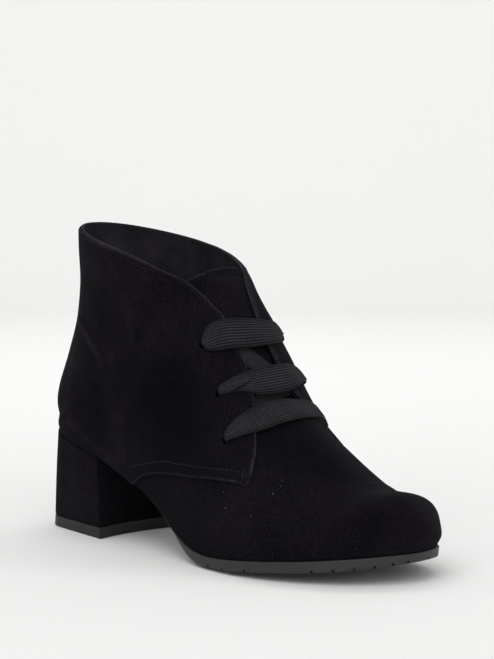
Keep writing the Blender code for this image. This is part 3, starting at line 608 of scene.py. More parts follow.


# painted light and shade in the suede's colour, laid as soft strokes: (section, length from the crest), reach in
# millimetres, and how much lighter or darker
PAINTED_STROKES = [
    ("back_strip", [(15.76, -118.5), (14.84, -123.0), (13.68, -129.5), (12.28, -132.5)], 4.0, 0.14),
    ("seat_band", [(12.24, -133.0), (11.6, -127.5), (11.04, -120.5), (10.28, -112.0)], 3.6, 0.18),
    ("cup_ridge", [(11.32, -87.5), (10.88, -91.5), (10.52, -98.0), (10.2, -102.0)], 4.0, 0.14),
    ("shaft_bump", [(15.84, -61.5), (15.0, -64.5), (14.2, -67.0)], 2.6, 0.14),
    ("cup_dark", [(14.2, -106.5), (12.9, -110.0), (12.0, -112.0), (11.32, -111.5)], 9.0, -0.40),
    ("under_crease", [(15.8, -102.0), (15.0, -97.5), (13.8, -95.0)], 5.0, -0.28),
    ("over_crease", [(14.9, -86.0), (14.2, -84.5), (12.48, -85.0)], 5.0, 0.08),
    ("quarter_dark", [(10.64, -69.5), (9.88, -64.0), (9.16, -61.0)], 19.0, -0.78),
    ("facing_dark", [(11.2, -50.0), (10.7, -46.0), (10.0, -44.0)], 13.0, -0.28),
    ("shaft_light", [(18.4, -71.0), (17.92, -54.0), (16.84, -43.0), (15.16, -38.0)], 8.0, 0.06),
    ("vamp_top", [(6.6, -8.0), (5.9, -8.0), (5.2, -5.0)], 16.0, -0.75),
    ("vamp_by_quarter", [(6.96, -24.5), (6.48, -26.0), (6.12, -28.5)], 7.0, -0.3),
    ("flex_light", [(4.4, -4.5), (3.92, -3.5), (3.4, -4.0)], 5.0, 0.09),
    ("toe_dark", [(2.4, -19.0), (2.0, -16.0), (1.48, -10.5)], 9.0, -0.25),
    ("quarter_dark_in", [(10.64, 69.5), (9.88, 64.0), (9.16, 61.0)], 18.0, -0.35),
    ("shaft_light_in", [(18.2, 71.0), (17.4, 56.0), (16.4, 46.0)], 9.0, 0.06),
    ("cup_dark_in", [(13.6, 104.0), (12.6, 108.0), (11.6, 110.0)], 9.0, -0.3),
]


def painted_strokes(points):
    # painted light and shade: the strokes summed at each point
    total = np.zeros(points.shape[:-1])
    for _, rows, reach, amount in PAINTED_STROKES:
        line, _, _ = curve_on(rows, 1.2)
        d, _ = distance(points, line)
        total += amount * np.exp(-(d / reach) ** 2)
    return total


# ---------------------------------------------------------------- meshes
def solid(outer, inner, faces, mark):
    """Closed solid from two skins that share their faces, with walls along the open edges; mark is a value kept for each point."""
    _, first, index = np.unique(np.round(outer, 3), axis=0, return_index=True, return_inverse=True)
    index = index.reshape(-1)
    outer, inner, mark = outer[first], inner[first], mark[first]
    kept, edges = [], {}
    for face in faces:
        ids = [int(index[i]) for i in face]
        ids = [v for k, v in enumerate(ids) if v != ids[k - 1]]
        if len(ids) > 2:
            kept.append(ids)
            for a, b in zip(ids, ids[1:] + ids[:1]):
                key = (a, b) if a < b else (b, a)
                edges[key] = None if key in edges else (a, b)
    n = len(outer)
    result = kept + [[i + n for i in f[::-1]] for f in kept]
    result += [[e[1], e[0], e[0] + n, e[1] + n] for e in edges.values() if e is not None]
    return np.concatenate([outer, inner]), result, np.concatenate([mark, mark])


def grid_faces(n, k, start=0):
    return [(start + i * k + j, start + (i + 1) * k + j, start + (i + 1) * k + j + 1, start + i * k + j + 1) for i in range(n - 1) for j in range(k - 1)]


def loops_solid(loops, cap_first=True, cap_last=True):
    """Closed solid from rings of the same number of points."""
    n, k = loops.shape[:2]
    faces = [(i * k + j, (i + 1) * k + j, (i + 1) * k + (j + 1) % k, i * k + (j + 1) % k) for i in range(n - 1) for j in range(k)]
    if cap_first:
        faces.append(tuple(range(k))[::-1])
    if cap_last:
        faces.append(tuple((n - 1) * k + j for j in range(k)))
    return loops.reshape(-1, 3), faces


lift_low, lift_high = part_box("heel_lift")
ORIGIN_X, ORIGIN_U = -(lift_low.x + lift_high.x) * 500, lift_high.y * 1000 + HEEL_BACK


def to_world(points):
    return np.stack([points[..., 0] - ORIGIN_X, ORIGIN_U - points[..., 1], points[..., 2]], -1) * 0.001


def add(name, made, material, sharp=50):
    verts, faces = made[:2]
    mesh = bpy.data.meshes.new(name)
    mesh.from_pydata([tuple(p) for p in to_world(np.asarray(verts))], [], [tuple(f)[::-1] for f in faces])
    if len(made) > 2:
        layer = mesh.attributes.new("mark", "FLOAT", "POINT")
        layer.data.foreach_set("value", np.asarray(made[2], np.float32))
    mesh.validate()
    work = bmesh.new()
    work.from_mesh(mesh)
    bmesh.ops.recalc_face_normals(work, faces=work.faces)
    work.to_mesh(mesh)
    work.free()
    mesh.shade_smooth()
    if sharp:
        mesh.set_sharp_from_angle(angle=math.radians(sharp))
    mesh.materials.append(material)
    piece = bpy.data.objects.new(name, mesh)
    bpy.context.scene.collection.objects.link(piece)
    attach(piece, "root")
    return piece


def cut(piece, cutter):
    """Cuts the cutter's shape out of the piece for good."""
    change = piece.modifiers.new("cut", "BOOLEAN")
    change.operation, change.solver, change.object = "DIFFERENCE", "EXACT", cutter
    bpy.context.view_layer.update()
    result = bpy.data.meshes.new_from_object(piece.evaluated_get(bpy.context.evaluated_depsgraph_get()))
    piece.modifiers.clear()
    old, piece.data = piece.data, result
    bpy.data.meshes.remove(old)
    bpy.data.objects.remove(cutter, do_unlink=True)


def bare(name, made):
    verts, faces = made
    mesh = bpy.data.meshes.new(name)
    mesh.from_pydata([tuple(p) for p in to_world(np.asarray(verts))], [], [tuple(f)[::-1] for f in faces])
    work = bmesh.new()
    work.from_mesh(mesh)
    bmesh.ops.recalc_face_normals(work, faces=work.faces)
    work.to_mesh(mesh)
    work.free()
    piece = bpy.data.objects.new(name, mesh)
    bpy.context.scene.collection.objects.link(piece)
    return piece


def joined(parts):
    verts, faces, n = [], [], 0
    for v, f in parts:
        verts.append(v)
        faces += [tuple(i + n for i in face) for face in f]
        n += len(v)
    return np.concatenate(verts), faces


# ---------------------------------------------------------------- materials
def material(name, base, rough, specular=0.3, sheen=None):
    m = bpy.data.materials.new(name)
    m.use_nodes = True
    shader = m.node_tree.nodes["Principled BSDF"]
    shader.inputs["Base Color"].default_value = (*base, 1)
    shader.inputs["Roughness"].default_value = rough
    shader.inputs["Specular IOR Level"].default_value = specular
    if sheen:
        shader.inputs["Sheen Weight"].default_value = sheen[0]
        shader.inputs["Sheen Roughness"].default_value = sheen[1]
        shader.inputs["Sheen Tint"].default_value = (*sheen[2], 1)
    return m, m.node_tree, shader


def noise(tree, scale, detail=3.0, rough=0.6, coords=None, stretch=None):
    if coords is None:
        coords = tree.nodes.new("ShaderNodeTexCoord").outputs["Object"]
    if stretch:
        mapping = tree.nodes.new("ShaderNodeMapping")
        mapping.inputs["Scale"].default_value = stretch
        tree.links.new(coords, mapping.inputs["Vector"])
        coords = mapping.outputs["Vector"]
    node = tree.nodes.new("ShaderNodeTexNoise")
    node.inputs["Scale"].default_value = scale
    node.inputs["Detail"].default_value = detail
    node.inputs["Roughness"].default_value = rough
    tree.links.new(coords, node.inputs["Vector"])
    return node.outputs["Fac"]


def ramp(tree, value, stops):
    node = tree.nodes.new("ShaderNodeValToRGB")
    while len(node.color_ramp.elements) < len(stops):
        node.color_ramp.elements.new(0.5)
    for element, (at, colour) in zip(node.color_ramp.elements, stops):
        element.position = at
        element.color = (*colour, 1) if len(colour) == 3 else (colour[0],) * 3 + (1,)
    tree.links.new(value, node.inputs["Fac"])
    return node.outputs["Color"]


def multiply(tree, a, b):
    node = tree.nodes.new("ShaderNodeMix")
    node.data_type, node.blend_type = "RGBA", "MULTIPLY"
    node.inputs["Factor"].default_value = 1.0
    tree.links.new(a, node.inputs["A"])
    tree.links.new(b, node.inputs["B"])
    return node.outputs["Result"]


def math_node(tree, kind, a, b):
    node = tree.nodes.new("ShaderNodeMath")
    node.operation = kind
    for socket, value in zip(node.inputs, (a, b)):
        if isinstance(value, (int, float)):
            socket.default_value = value
        else:
            tree.links.new(value, socket)
    return node.outputs[0]


def bump(tree, shader, layers, distance_m):
    """Fine height of the surface: (value, weight) layers added up."""
    total = None
    for value, weight in layers:
        part = math_node(tree, "MULTIPLY", value, weight)
        total = part if total is None else math_node(tree, "ADD", total, part)
    node = tree.nodes.new("ShaderNodeBump")
    node.inputs["Strength"].default_value = 1.0
    node.inputs["Distance"].default_value = distance_m
    tree.links.new(total, node.inputs["Height"])
    tree.links.new(node.outputs["Normal"], shader.inputs["Normal"])


def suede(name, dark, light, sheen=0.017):
    """Napped leather: brushed patches, short fibres, a soft edge light, and the painted light and shade carried by the
    mark.
    """
    m, tree, shader = material(name, light, 0.93, 0.022, (sheen, 0.45, (0.86, 0.80, 0.92)))
    coords = tree.nodes.new("ShaderNodeTexCoord").outputs["Object"]
    patches = noise(tree, 30, 3.0, 0.55, coords)
    mottle = noise(tree, 210, 3.0, 0.65, coords)
    fibre = noise(tree, 1350, 3.0, 0.75, coords)
    grain = noise(tree, 3600, 1.0, 0.5, coords)
    tone = ramp(tree, patches, [(0.36, dark), (0.52, tuple((a + b) / 2 for a, b in zip(dark, light))), (0.66, light)])
    tone = multiply(tree, tone, ramp(tree, mottle, [(0.3, (0.84,)), (0.7, (1.18,))]))
    tone = multiply(tree, tone, ramp(tree, fibre, [(0.32, (0.36,)), (0.5, (0.95,)), (0.68, (2.3,))]))
    # the mark attribute carries painted light and shade: below zero it darkens the suede, above zero it lightens it
    edge = tree.nodes.new("ShaderNodeAttribute")
    edge.attribute_name = "mark"
    spread = tree.nodes.new("ShaderNodeMapRange")
    spread.inputs["From Min"].default_value, spread.inputs["From Max"].default_value = -1.0, 1.0
    tree.links.new(edge.outputs["Fac"], spread.inputs["Value"])
    tone = multiply(tree, tone, ramp(tree, spread.outputs["Result"], [(0.0, (0.3,)), (0.5, (1.0,)), (1.0, (4.2,))]))
    tree.links.new(tone, shader.inputs["Base Color"])
    rough = tree.nodes.new("ShaderNodeMapRange")
    rough.inputs["To Min"].default_value, rough.inputs["To Max"].default_value = 0.86, 1.0
    tree.links.new(mottle, rough.inputs["Value"])
    tree.links.new(rough.outputs["Result"], shader.inputs["Roughness"])
    bump(tree, shader, [(fibre, 0.7), (grain, 0.3), (mottle, 0.6)], 0.00034)
    return m


def rubber(name, dark, light, shine=0.4):
    m, tree, shader = material(name, light, 0.55, shine)
    coords = tree.nodes.new("ShaderNodeTexCoord").outputs["Object"]
    cloud, grit = noise(tree, 60, 3.0, 0.6, coords), noise(tree, 2600, 2.0, 0.6, coords)
    tone = ramp(tree, cloud, [(0.35, dark), (0.65, light)])
    tone = multiply(tree, tone, ramp(tree, grit, [(0.3, (0.86,)), (0.7, (1.12,))]))
    tree.links.new(tone, shader.inputs["Base Color"])
    rough = tree.nodes.new("ShaderNodeMapRange")
    rough.inputs["To Min"].default_value, rough.inputs["To Max"].default_value = 0.46, 0.68
    tree.links.new(cloud, rough.inputs["Value"])
    tree.links.new(rough.outputs["Result"], shader.inputs["Roughness"])
    bump(tree, shader, [(grit, 0.6), (cloud, 0.4)], 0.00008)
    return m


def woven(name, dark, light):
    """Cotton lace: painted shade between its yarns and at the ribbon's edges, painted light on the yarns' crowns, and
    light fibres on them.
    """
    m, tree, shader = material(name, light, 0.82, 0.12, (0.03, 0.5, (0.9, 0.88, 0.95)))
    coords = tree.nodes.new("ShaderNodeTexCoord").outputs["Object"]
    height = tree.nodes.new("ShaderNodeAttribute")
    height.attribute_name = "mark"
    fibre = noise(tree, 2800, 2.0, 0.6, coords)
    cloud = noise(tree, 120, 2.0, 0.6, coords)
    # colour by the weave's height: painted shade in its hollows, painted light on its crowns
    tone = ramp(tree, height.outputs["Fac"], [(0.05, tuple(0.25 * v for v in dark)), (0.48, dark), (0.95, light)])
    tone = multiply(tree, tone, ramp(tree, fibre, [(0.3, (0.6,)), (0.7, (1.5,))]))
    tone = multiply(tree, tone, ramp(tree, cloud, [(0.3, (0.85,)), (0.7, (1.12,))]))
    tree.links.new(tone, shader.inputs["Base Color"])
    bump(tree, shader, [(fibre, 1.0)], 0.00012)
    return m


def lining_look(name, dark, light):
    m, tree, shader = material(name, light, 0.9, 0.06, (0.03, 0.5, (0.9, 0.85, 0.95)))
    coords = tree.nodes.new("ShaderNodeTexCoord").outputs["Object"]
    cloud, pore = noise(tree, 70, 3.0, 0.6, coords), noise(tree, 1700, 2.0, 0.6, coords)
    tone = multiply(tree, ramp(tree, cloud, [(0.35, dark), (0.65, light)]), ramp(tree, pore, [(0.3, (0.75,)), (0.7, (1.2,))]))
    # the mark carries painted shade and light: at zero the colour is ten times darker, so pieces without the mark, such
    # as the insole, take the full painted shade
    depth = tree.nodes.new("ShaderNodeAttribute")
    depth.attribute_name = "mark"
    tone = multiply(tree, tone, ramp(tree, depth.outputs["Fac"], [(0.0, (0.1,)), (0.5, (1.0,)), (1.0, (2.4,))]))
    tree.links.new(tone, shader.inputs["Base Color"])
    bump(tree, shader, [(pore, 0.7), (cloud, 0.3)], 0.0002)
    return m


SUEDE = suede("suede", (0.0038, 0.00325, 0.0045), (0.0064, 0.0055, 0.0076))
RUBBER = rubber("rubber", (0.0168, 0.0160, 0.0168), (0.0224, 0.0211, 0.0224))
LIFT = rubber("lift_rubber", (0.0134, 0.0133, 0.0146), (0.0180, 0.0178, 0.0194), 0.25)
LINING = lining_look("lining", (0.0112, 0.0101, 0.0126), (0.0212, 0.0189, 0.0235))
LACE = woven("lace_weave", (0.0034, 0.0031, 0.0040), (0.060, 0.0555, 0.0665))
THREAD, _tree, _shader = material("thread", (0.020, 0.0185, 0.0215), 0.8, 0.12)
bump(_tree, _shader, [(noise(_tree, 5200, 2.0), 1.0)], 0.00008)
FLUFF, _tree, _shader = material("fluff", (0.115, 0.110, 0.108), 0.9, 0.02)
_light = _tree.nodes.new("ShaderNodeAttribute")
_light.attribute_name = "mark"
_tree.links.new(ramp(_tree, _light.outputs["Fac"], [(0.0, (0.0, 0.0, 0.0)), (1.0, (0.115, 0.110, 0.108))]), _shader.inputs["Base Color"])
THREAD_DARK, _tree, _shader = material("thread_dark", (0.0095, 0.0088, 0.0105), 0.8, 0.1)
bump(_tree, _shader, [(noise(_tree, 5200, 2.0), 1.0)], 0.00008)


# ---------------------------------------------------------------- upper: seam, facing and collar lines
# front corner of the quarters: facing edge below the throat, length of surface from the crest by section
FACING_LOW = {-1: [(6.04, 43.6), (6.28, 38.8), (6.64, 32.0), (7.18, 25.7)], 1: [(6.04, 41.0), (6.28, 36.0), (6.64, 29.0), (7.18, 22.0)]}
# front edge of the quarters: share of the way from the facing to the feather, and section
SEAM = [(0.0, 6.17), (0.012, 6.10), (0.03, 6.062), (0.05, 6.075), (0.111, 6.18), (0.215, 6.39), (0.304, 6.62), (0.362, 6.84), (0.446, 7.27), (0.533, 7.72), (0.607, 8.12), (0.68, 8.53), (0.753, 8.90), (0.824, 9.20), (0.899, 9.43), (1.0, 9.55)]
# hidden end of the vamp under the quarters: share of the half section, and section
VAMP_END = {-1: [(0, 8.0), (0.2, 8.0), (0.28, 7.7), (0.36, 7.2), (0.45, 6.85), (0.52, 6.68), (0.548, 6.68), (0.587, 7.42), (0.64, 8.15), (0.71, 8.75), (0.786, 9.27), (0.863, 9.63), (0.925, 9.79), (1, 9.9)],
            1: [(0, 8.0), (0.16, 8.0), (0.24, 7.7), (0.34, 7.2), (0.44, 6.85), (0.52, 6.68), (0.548, 6.80), (0.57, 7.5), (0.595, 7.95), (0.64, 8.4), (0.71, 8.9), (0.786, 9.35), (0.863, 9.65), (0.925, 9.79), (1, 9.9)]}
# row of stitches along that edge, as (section, length from the crest)
STITCH_ROW = [(9.80, 101.0), (9.66, 94.3), (9.22, 79.3), (8.80, 70.3), (8.30, 62.0), (7.72, 54.5), (7.38, 50.9), (6.98, 47.2), (6.48, 43.3)]
EDGE_STEPS = np.array([0.0, 0.18, 0.45, 0.8, 1.3, 2.0, 2.8, 4.0])
NOMINAL = 80.0
seam_section = monotone([r[0] for r in SEAM], [r[1] for r in SEAM])
facing_full = {side: monotone([r[0] for r in FACING_LOW[side]] + [r[0] for r in FACING], [r[1] for r in FACING_LOW[side]] + [r[1 if side < 0 else 2] for r in FACING]) for side in (-1, 1)}


def quarter_grid(side, cols=76, middle=196):
    """Sections and lengths from the crest of a quarter's points, rows from the front edge to the collar."""
    share = np.linspace(0, 1, cols)[1:]
    nominal = np.concatenate([EDGE_STEPS, EDGE_STEPS[-1] + share * (NOMINAL - EDGE_STEPS[-1])]) / NOMINAL
    low = seam_section(nominal)

    def arcs(s):
        edge, full = facing_full[side](s), half_length(s, side)
        d = np.concatenate([np.broadcast_to(EDGE_STEPS, s.shape[:-1] + (len(EDGE_STEPS),)), EDGE_STEPS[-1] + share * (full[..., len(EDGE_STEPS):] - edge[..., len(EDGE_STEPS):] - EDGE_STEPS[-1])], -1)
        return edge + d

    rate = pace(low + 0.1, side * arcs(low))
    first = low + EDGE_STEPS[:, None] / rate
    a, b = first[-1], np.full(len(low), S_END - 0.16)
    m = np.linspace(0, 1, middle + 2)[1:-1]
    at_rear = (S_REAR - a[-1]) / (b[-1] - a[-1])
    m[np.abs(m - at_rear).argmin()] = at_rear
    body = a + (b - a) * m[:, None]
    last = S_END - np.array([0.16, 0.11, 0.075, 0.045, 0.022, 0.008, 0.0])[:, None] * np.ones(len(low))
    s = np.concatenate([first, body, last])
    return s, side * arcs(s)


def edge_lines(side):
    """The quarter's front edge, its facing below the throat, and the whole rim of facing and collar."""
    s, arc = quarter_grid(side, 60, 160)
    p, _ = surf(s, arc)
    rim = np.concatenate([p[:, 0], p[-1]])
    below = p[s[:, 0] < 7.9, 0]
    return dense(p[0]), dense(np.concatenate([p[0][::-1], below])), dense(rim)


def row_arc(s, arc, side):
    """Length from the crest on one side that is the same share of the quarter as the given length on the outer side."""
    first, full = facing_full[-1](s), half_length(s, -1)
    return facing_full[side](s) + (arc - first) / (full - first) * (half_length(s, side) - facing_full[side](s))


LINES = {side: edge_lines(side) for side in (-1, 1)}
STITCH = {side: curve_on([(s, side * row_arc(s, arc, side)) for s, arc in STITCH_ROW], 0.6) for side in (-1, 1)}
RIM_LINE = np.concatenate([LINES[-1][2], LINES[1][2]])
FRONT_LINE = np.concatenate([LINES[-1][1], LINES[1][1]])
HEM_LINE = np.concatenate([LINES[side][0][lengths(LINES[side][0]) > 13.0] for side in (-1, 1)])
STITCH_LINE = np.concatenate([STITCH[-1][0], STITCH[1][0]])


def rim_roll(points, rim, front):
    """The upper turns inward over its last millimetres, most at the back of the collar."""
    depth = 0.4 + 0.9 * ease(138.0, 158.0, points[..., 2])
    return -depth * (1 - np.sqrt(1 - (1 - np.clip(rim / 3.2, 0, 1)) ** 2)) * ease(3.0, 8.0, front)


def quarter_skin(points):
    """Height of the quarter's outer and under face over the last, and the painted light and shade in its colour:
    highlights along the turned rim and the front edge, a light line on the hem with painted shade in the groove behind
    it, the crease highlight and the painted strokes.
    """
    front, _ = distance(points, FRONT_LINE)
    rim, _ = distance(points, RIM_LINE)
    row, _ = distance(points, STITCH_LINE)
    form = relief(points)
    proud = np.where(points[..., 0] > 3.0, 0.8, 1.3) * (1 - ease(5.0, 34.0, front))
    form = form + rim_roll(points, rim, front)
    cut_edge = -0.6 * (1 - np.sqrt(1 - (1 - np.clip(front / 0.95, 0, 1)) ** 2))
    turned = -0.9 * (1 - np.sqrt(1 - (1 - np.clip(rim / 1.2, 0, 1)) ** 2)) * (front > 0.6)
    puff = 0.15 * np.sin(math.pi * np.clip(front / 4.4, 0, 1)) * (front < 4.4)
    sewn = -0.28 * np.exp(-(row / 0.55) ** 2) - 0.16 * np.exp(-((rim - 2.5) / 0.5) ** 2) * ease(3.0, 6.0, front)
    roll = 0.14 * np.exp(-((rim - 1.3) / 0.8) ** 2)
    outer = form + proud + np.minimum(cut_edge, 0) + turned + puff + sewn + roll
    under = form + 0.03 - 1.28 * ease(8.0, 11.0, front)
    # painted highlight on the hem's rolled edge and painted shade in the groove behind it
    hem, _ = distance(points, HEM_LINE)
    hem = 0.5 * np.exp(-((hem - 0.75) / 0.6) ** 2) - 0.22 * np.exp(-((hem - 2.2) / 0.5) ** 2)
    # painted highlights along the rim and the front edge, plus the hem's, the crease's and the strokes' painted light
    # and shade
    painted_light_and_wear = np.exp(-(rim / 1.0) ** 2) * 0.9 + np.exp(-(front / 0.9) ** 2) * 0.22 + hem + crease_highlight_and_wear(points) + painted_strokes(points)
    return outer, under, np.clip(painted_light_and_wear, -1, 1)


def make_quarters():
    outer, under, faces, painted_light_and_wear, n = [], [], [], [], 0
    for side in (-1, 1):
        s, arc = quarter_grid(side)
        p, m = surf(s, arc)
        up, low, mark = quarter_skin(p)
        outer.append((p + m * up[..., None]).reshape(-1, 3))
        under.append((p + m * low[..., None]).reshape(-1, 3))
        painted_light_and_wear.append(mark.reshape(-1))
        faces += [f if side < 0 else f[::-1] for f in grid_faces(*s.shape, start=n)]
        n += s.size
    return solid(np.concatenate(outer), np.concatenate(under), faces, np.concatenate(painted_light_and_wear))


def make_vamp(rows_n=170, half_cols=78):
    t = np.linspace(-1, 1, 2 * half_cols + 1)
    end = np.where(t < 0, np.interp(-t, *np.array(VAMP_END[-1]).T), np.interp(t, *np.array(VAMP_END[1]).T))
    q = np.linspace(0, 1, rows_n)
    s = 0.02 + (end - 0.02) * (0.55 * q + 0.45 * q ** 1.6)[:, None]
    arc = t * np.where(t < 0, half_length(s, -1), half_length(s, 1))
    p, m = surf(s, arc)
    form = relief(p) - 0.05
    faces = grid_faces(*s.shape)
    # the vamp's mark is the painted light and shade of the strokes
    return solid((p + m * form[..., None]).reshape(-1, 3), (p + m * (form - 1.2)[..., None]).reshape(-1, 3), faces, painted_strokes(p).reshape(-1))


def make_lining(rows_n=150, cols=64):
    """Inside of the upper: two sides up to the rim, and the middle in front of the throat."""
    s_rows = np.unique(np.concatenate([np.linspace(0.3, S_THROAT, 46), np.linspace(S_THROAT, S_END, rows_n - 46), [S_REAR], S_END - np.array([0.08, 0.04, 0.018, 0.006])]))
    outer, under, faces, depth, n = [], [], [], [], 0
    edge = {side: np.where(s_rows >= S_THROAT, facing_arc[side](s_rows), facing_arc[side](S_THROAT) * half_length(s_rows, side) / half_length(S_THROAT, side)) for side in (-1, 1)}
    parts = []
    for side in (-1, 1):
        length = half_length(s_rows, side)
        e = edge[side]
        steps = np.array([0.0, 0.25, 0.6, 1.1, 1.8])
        share = np.linspace(0, 1, cols)[1:]
        arc = np.concatenate([e[:, None] + steps, (e + 1.8)[:, None] + share * (length - e - 1.8)[:, None]], 1)
        parts.append((np.broadcast_to(s_rows[:, None], arc.shape), side * arc, side < 0))
    front = s_rows <= S_THROAT + 1e-9
    arc = -edge[-1][front][:, None] + np.linspace(0, 1, 31) * (edge[-1] + edge[1])[front][:, None]
    parts.append((np.broadcast_to(s_rows[front][:, None], arc.shape), arc, False))
    for s, arc, turn in parts:
        p, m = surf(s, arc)
        form = relief(p)
        rim, _ = distance(p, RIM_LINE)
        rim = np.where(s < S_THROAT - 0.01, 9.0, rim)
        front, _ = distance(p, FRONT_LINE)
        form = form + rim_roll(p, rim, front)
        rounding = 1 - np.sqrt(1 - (1 - np.clip(rim / 1.2, 0, 1)) ** 2)
        outer.append((p + m * (form - 1.3)[..., None]).reshape(-1, 3))
        under.append((p + m * (form - 2.0 + 0.55 * rounding)[..., None]).reshape(-1, 3))
        # painted shade deep inside the boot, lighter higher up, and a painted highlight along the rim
        depth.append((0.5 * ease(92.0, 126.0, p[..., 2]) + 0.5 * np.exp(-(rim / 0.9) ** 2)).reshape(-1))
        faces += [f if turn else f[::-1] for f in grid_faces(*s.shape, start=n)]
        n += s.size
    return solid(np.concatenate(outer), np.concatenate(under), faces, np.concatenate(depth))


def capsule(a, b, radius, around=8, rings=3):
    """Closed round-ended stitch from a to b."""
    axis = (b - a) / np.linalg.norm(b - a)
    side = np.cross(axis, [0.13, 0.41, 0.9])
    side /= np.linalg.norm(side)
    other = np.cross(axis, side)
    turn = np.linspace(0, 2 * math.pi, around, endpoint=False)
    circle = np.cos(turn)[:, None] * side + np.sin(turn)[:, None] * other
    loops = []
    for t in np.linspace(0.18, 1, rings) * math.pi / 2:
        loops.append(a - axis * radius * math.cos(t) + circle * radius * math.sin(t))
    for t in np.linspace(1, 0.18, rings) * math.pi / 2:
        loops.append(b + axis * radius * math.cos(t) + circle * radius * math.sin(t))
    return loops_solid(np.array(loops))


def sew(s, arc, pitch, length, radius, lift=0.12, skip=0.0):
    """Stitches along a line on the quarter's face."""
    p, m = surf(s, arc)
    up, _, _ = quarter_skin(p)
    line, at = p + m * up[:, None], None
    d = lengths(line)
    made = []
    for k, start in enumerate(np.arange(skip, d[-1] - length - skip, pitch)):
        sway = 0.05 * math.sin(7.3 * k)
        a, mid, b = walk(line, np.array([start, start + length / 2, start + length]))
        n = np.stack([np.interp(start + length / 2, d, m[:, i]) for i in range(3)])
        made.append(capsule(a + n * (lift - 0.1 + sway), b + n * (lift - 0.1 - sway), radius))
    return joined(made)


def make_seam_stitches():
    made = []
    for side in (-1, 1):
        _, s, arc = STITCH[side]
        made.append(sew(s, arc, 2.2, 0.72, 0.27))
        # two short rows of close stitches at the corner
        for (s0, a0), (s1, a1) in (((6.52, 42.4), (6.26, 45.0)), ((6.44, 41.4), (6.20, 43.9))):
            share = np.linspace(0, 1, 30)
            s = s0 + (s1 - s0) * share
            made.append(sew(s, side * row_arc(s, a0 + (a1 - a0) * share, side), 1.25, 0.5, 0.22))
    return joined(made)


def make_rim_stitches():
    made = []
    for side in (-1, 1):
        s = np.linspace(8.4, 18.2, 260)
        made.append(sew(s, side * (facing_full[side](s) + 2.5), 1.75, 1.15, 0.17, 0.06))
        rest = np.linspace(64.0, 1.0, 160)
        arc = np.linspace(float(facing_full[side](18.2)) + 2.5, float(half_length(S_END, side)) - 0.5, 420)
        s_line = np.clip(18.2 + (S_END - 2.5 / 26.0 - 18.2) * ease(0, 1, (arc - arc[0]) / 32.0), 0, S_END - 0.09)
        made.append(sew(s_line, side * arc, 1.75, 1.15, 0.17, 0.06))
    return joined(made)


# ---------------------------------------------------------------- lint on the vamp's outer side
# section, length from the crest, length and radius of the fibre, its turn in degrees, and how light it is
LINT = [(5.32, -40.0, 0.55, 0.25, 75, 0.80), (6.32, -61.0, 0.45, 0.25, 35, 0.60), (5.44, -54.8, 0.8, 0.16, 85, 0.42), (6.72, -56.0, 0.6, 0.16, 60, 0.47),
        (2.16, -35.0, 0.35, 0.21, 20, 0.25), (5.40, -32.2, 1.3, 0.08, 70, 0.58), (5.33, -34.6, 1.0, 0.08, 50, 0.72), (3.64, -21.5, 0.7, 0.08, 15, 0.52),
        (4.20, -33.5, 0.5, 0.09, 40, 0.26), (5.24, -60.0, 0.4, 0.12, 0, 0.21), (4.64, -60.0, 0.4, 0.12, 50, 0.18), (2.52, -33.0, 0.6, 0.09, 80, 0.20), (4.44, -61.0, 0.5, 0.10, 20, 0.34)]


def make_lint():
    made, light = [], []
    for s, arc, length, radius, turn, tone in LINT:
        p, m = surf(np.array([s]), np.array([arc]))
        middle, out = p[0] + m[0] * (relief(p)[0] - 0.05 + 0.4 * radius), m[0]
        ahead = unit(np.cross([0.0, 0.0, 1.0], out))
        way = math.cos(math.radians(turn)) * ahead + math.sin(math.radians(turn)) * np.cross(out, ahead)
        made.append(capsule(middle - way * length / 2, middle + way * length / 2, radius))
        light.append(np.full(len(made[-1][0]), tone))
    return joined(made) + (np.concatenate(light),)


# ---------------------------------------------------------------- tongue
def make_tongue(n=120, k=71):
    width = monotone([r[0] for r in TONGUE], [r[1] for r in TONGUE])
    v = np.linspace(-1, 1, k)
    v = np.sign(v) * (1 - (1 - np.abs(v)) ** 1.25)
    t = columns(TONGUE_TOP, TONGUE_TOP_COLS)
    last, share_up = monotone(t["v"], t["s"])(v), monotone(t["v"], t["lift"])(v)
    q = np.linspace(0, 1, n)
    s = TONGUE[0][0] + (last - TONGUE[0][0]) * q[:, None]
    arc = v * width(s)
    p, m = surf(s, arc)
    rise = np.array([0.0, -TONGUE_BACK, TONGUE_RISE])
    steps = np.concatenate([np.linspace(0.06, 0.9, 22), [0.95, 0.985, 1.0]])
    more = [p[-1] + share * share_up[:, None] * rise for share in steps]
    p, m = np.concatenate([p, more]), np.concatenate([m, np.repeat(m[-1:], len(steps), 0)])
    # distances from the top edge and from the sides
    top = dense(p[-1], 0.4)
    rim, _ = distance(p, top)
    flank = (1 - np.abs(v))[None, :] * np.concatenate([width(s), np.repeat(width(s[-1:]), len(steps), 0)])
    edge = np.minimum(rim, flank)
    rounded = 1 - np.sqrt(1 - (1 - np.clip(edge / 1.3, 0, 1)) ** 2)
    up = -TONGUE_DEPTH - 1.15 * rounded + 0.3 * np.exp(-((rim - 1.6) / 1.5) ** 2) - 0.3 * np.exp(-((rim - 6.2) / 0.7) ** 2) + 0.22 * np.exp(-((rim - 9.5) / 3.0) ** 2)
    x, u, z = p[..., 0], p[..., 1], p[..., 2]
    up = up + 0.16 * np.sin(0.21 * z + 0.17 * x) * np.sin(0.12 * u - 0.19 * x + 0.6) * ease(0, 6, edge)
    low = -TONGUE_DEPTH - TONGUE_THICK + 1.15 * rounded
    # painted highlight along the tongue's rolled top edge
    mark = np.exp(-(rim / 1.1) ** 2)
    return solid((p + m * up[..., None]).reshape(-1, 3), (p + m * low[..., None]).reshape(-1, 3), grid_faces(*p.shape[:2]), mark.reshape(-1))


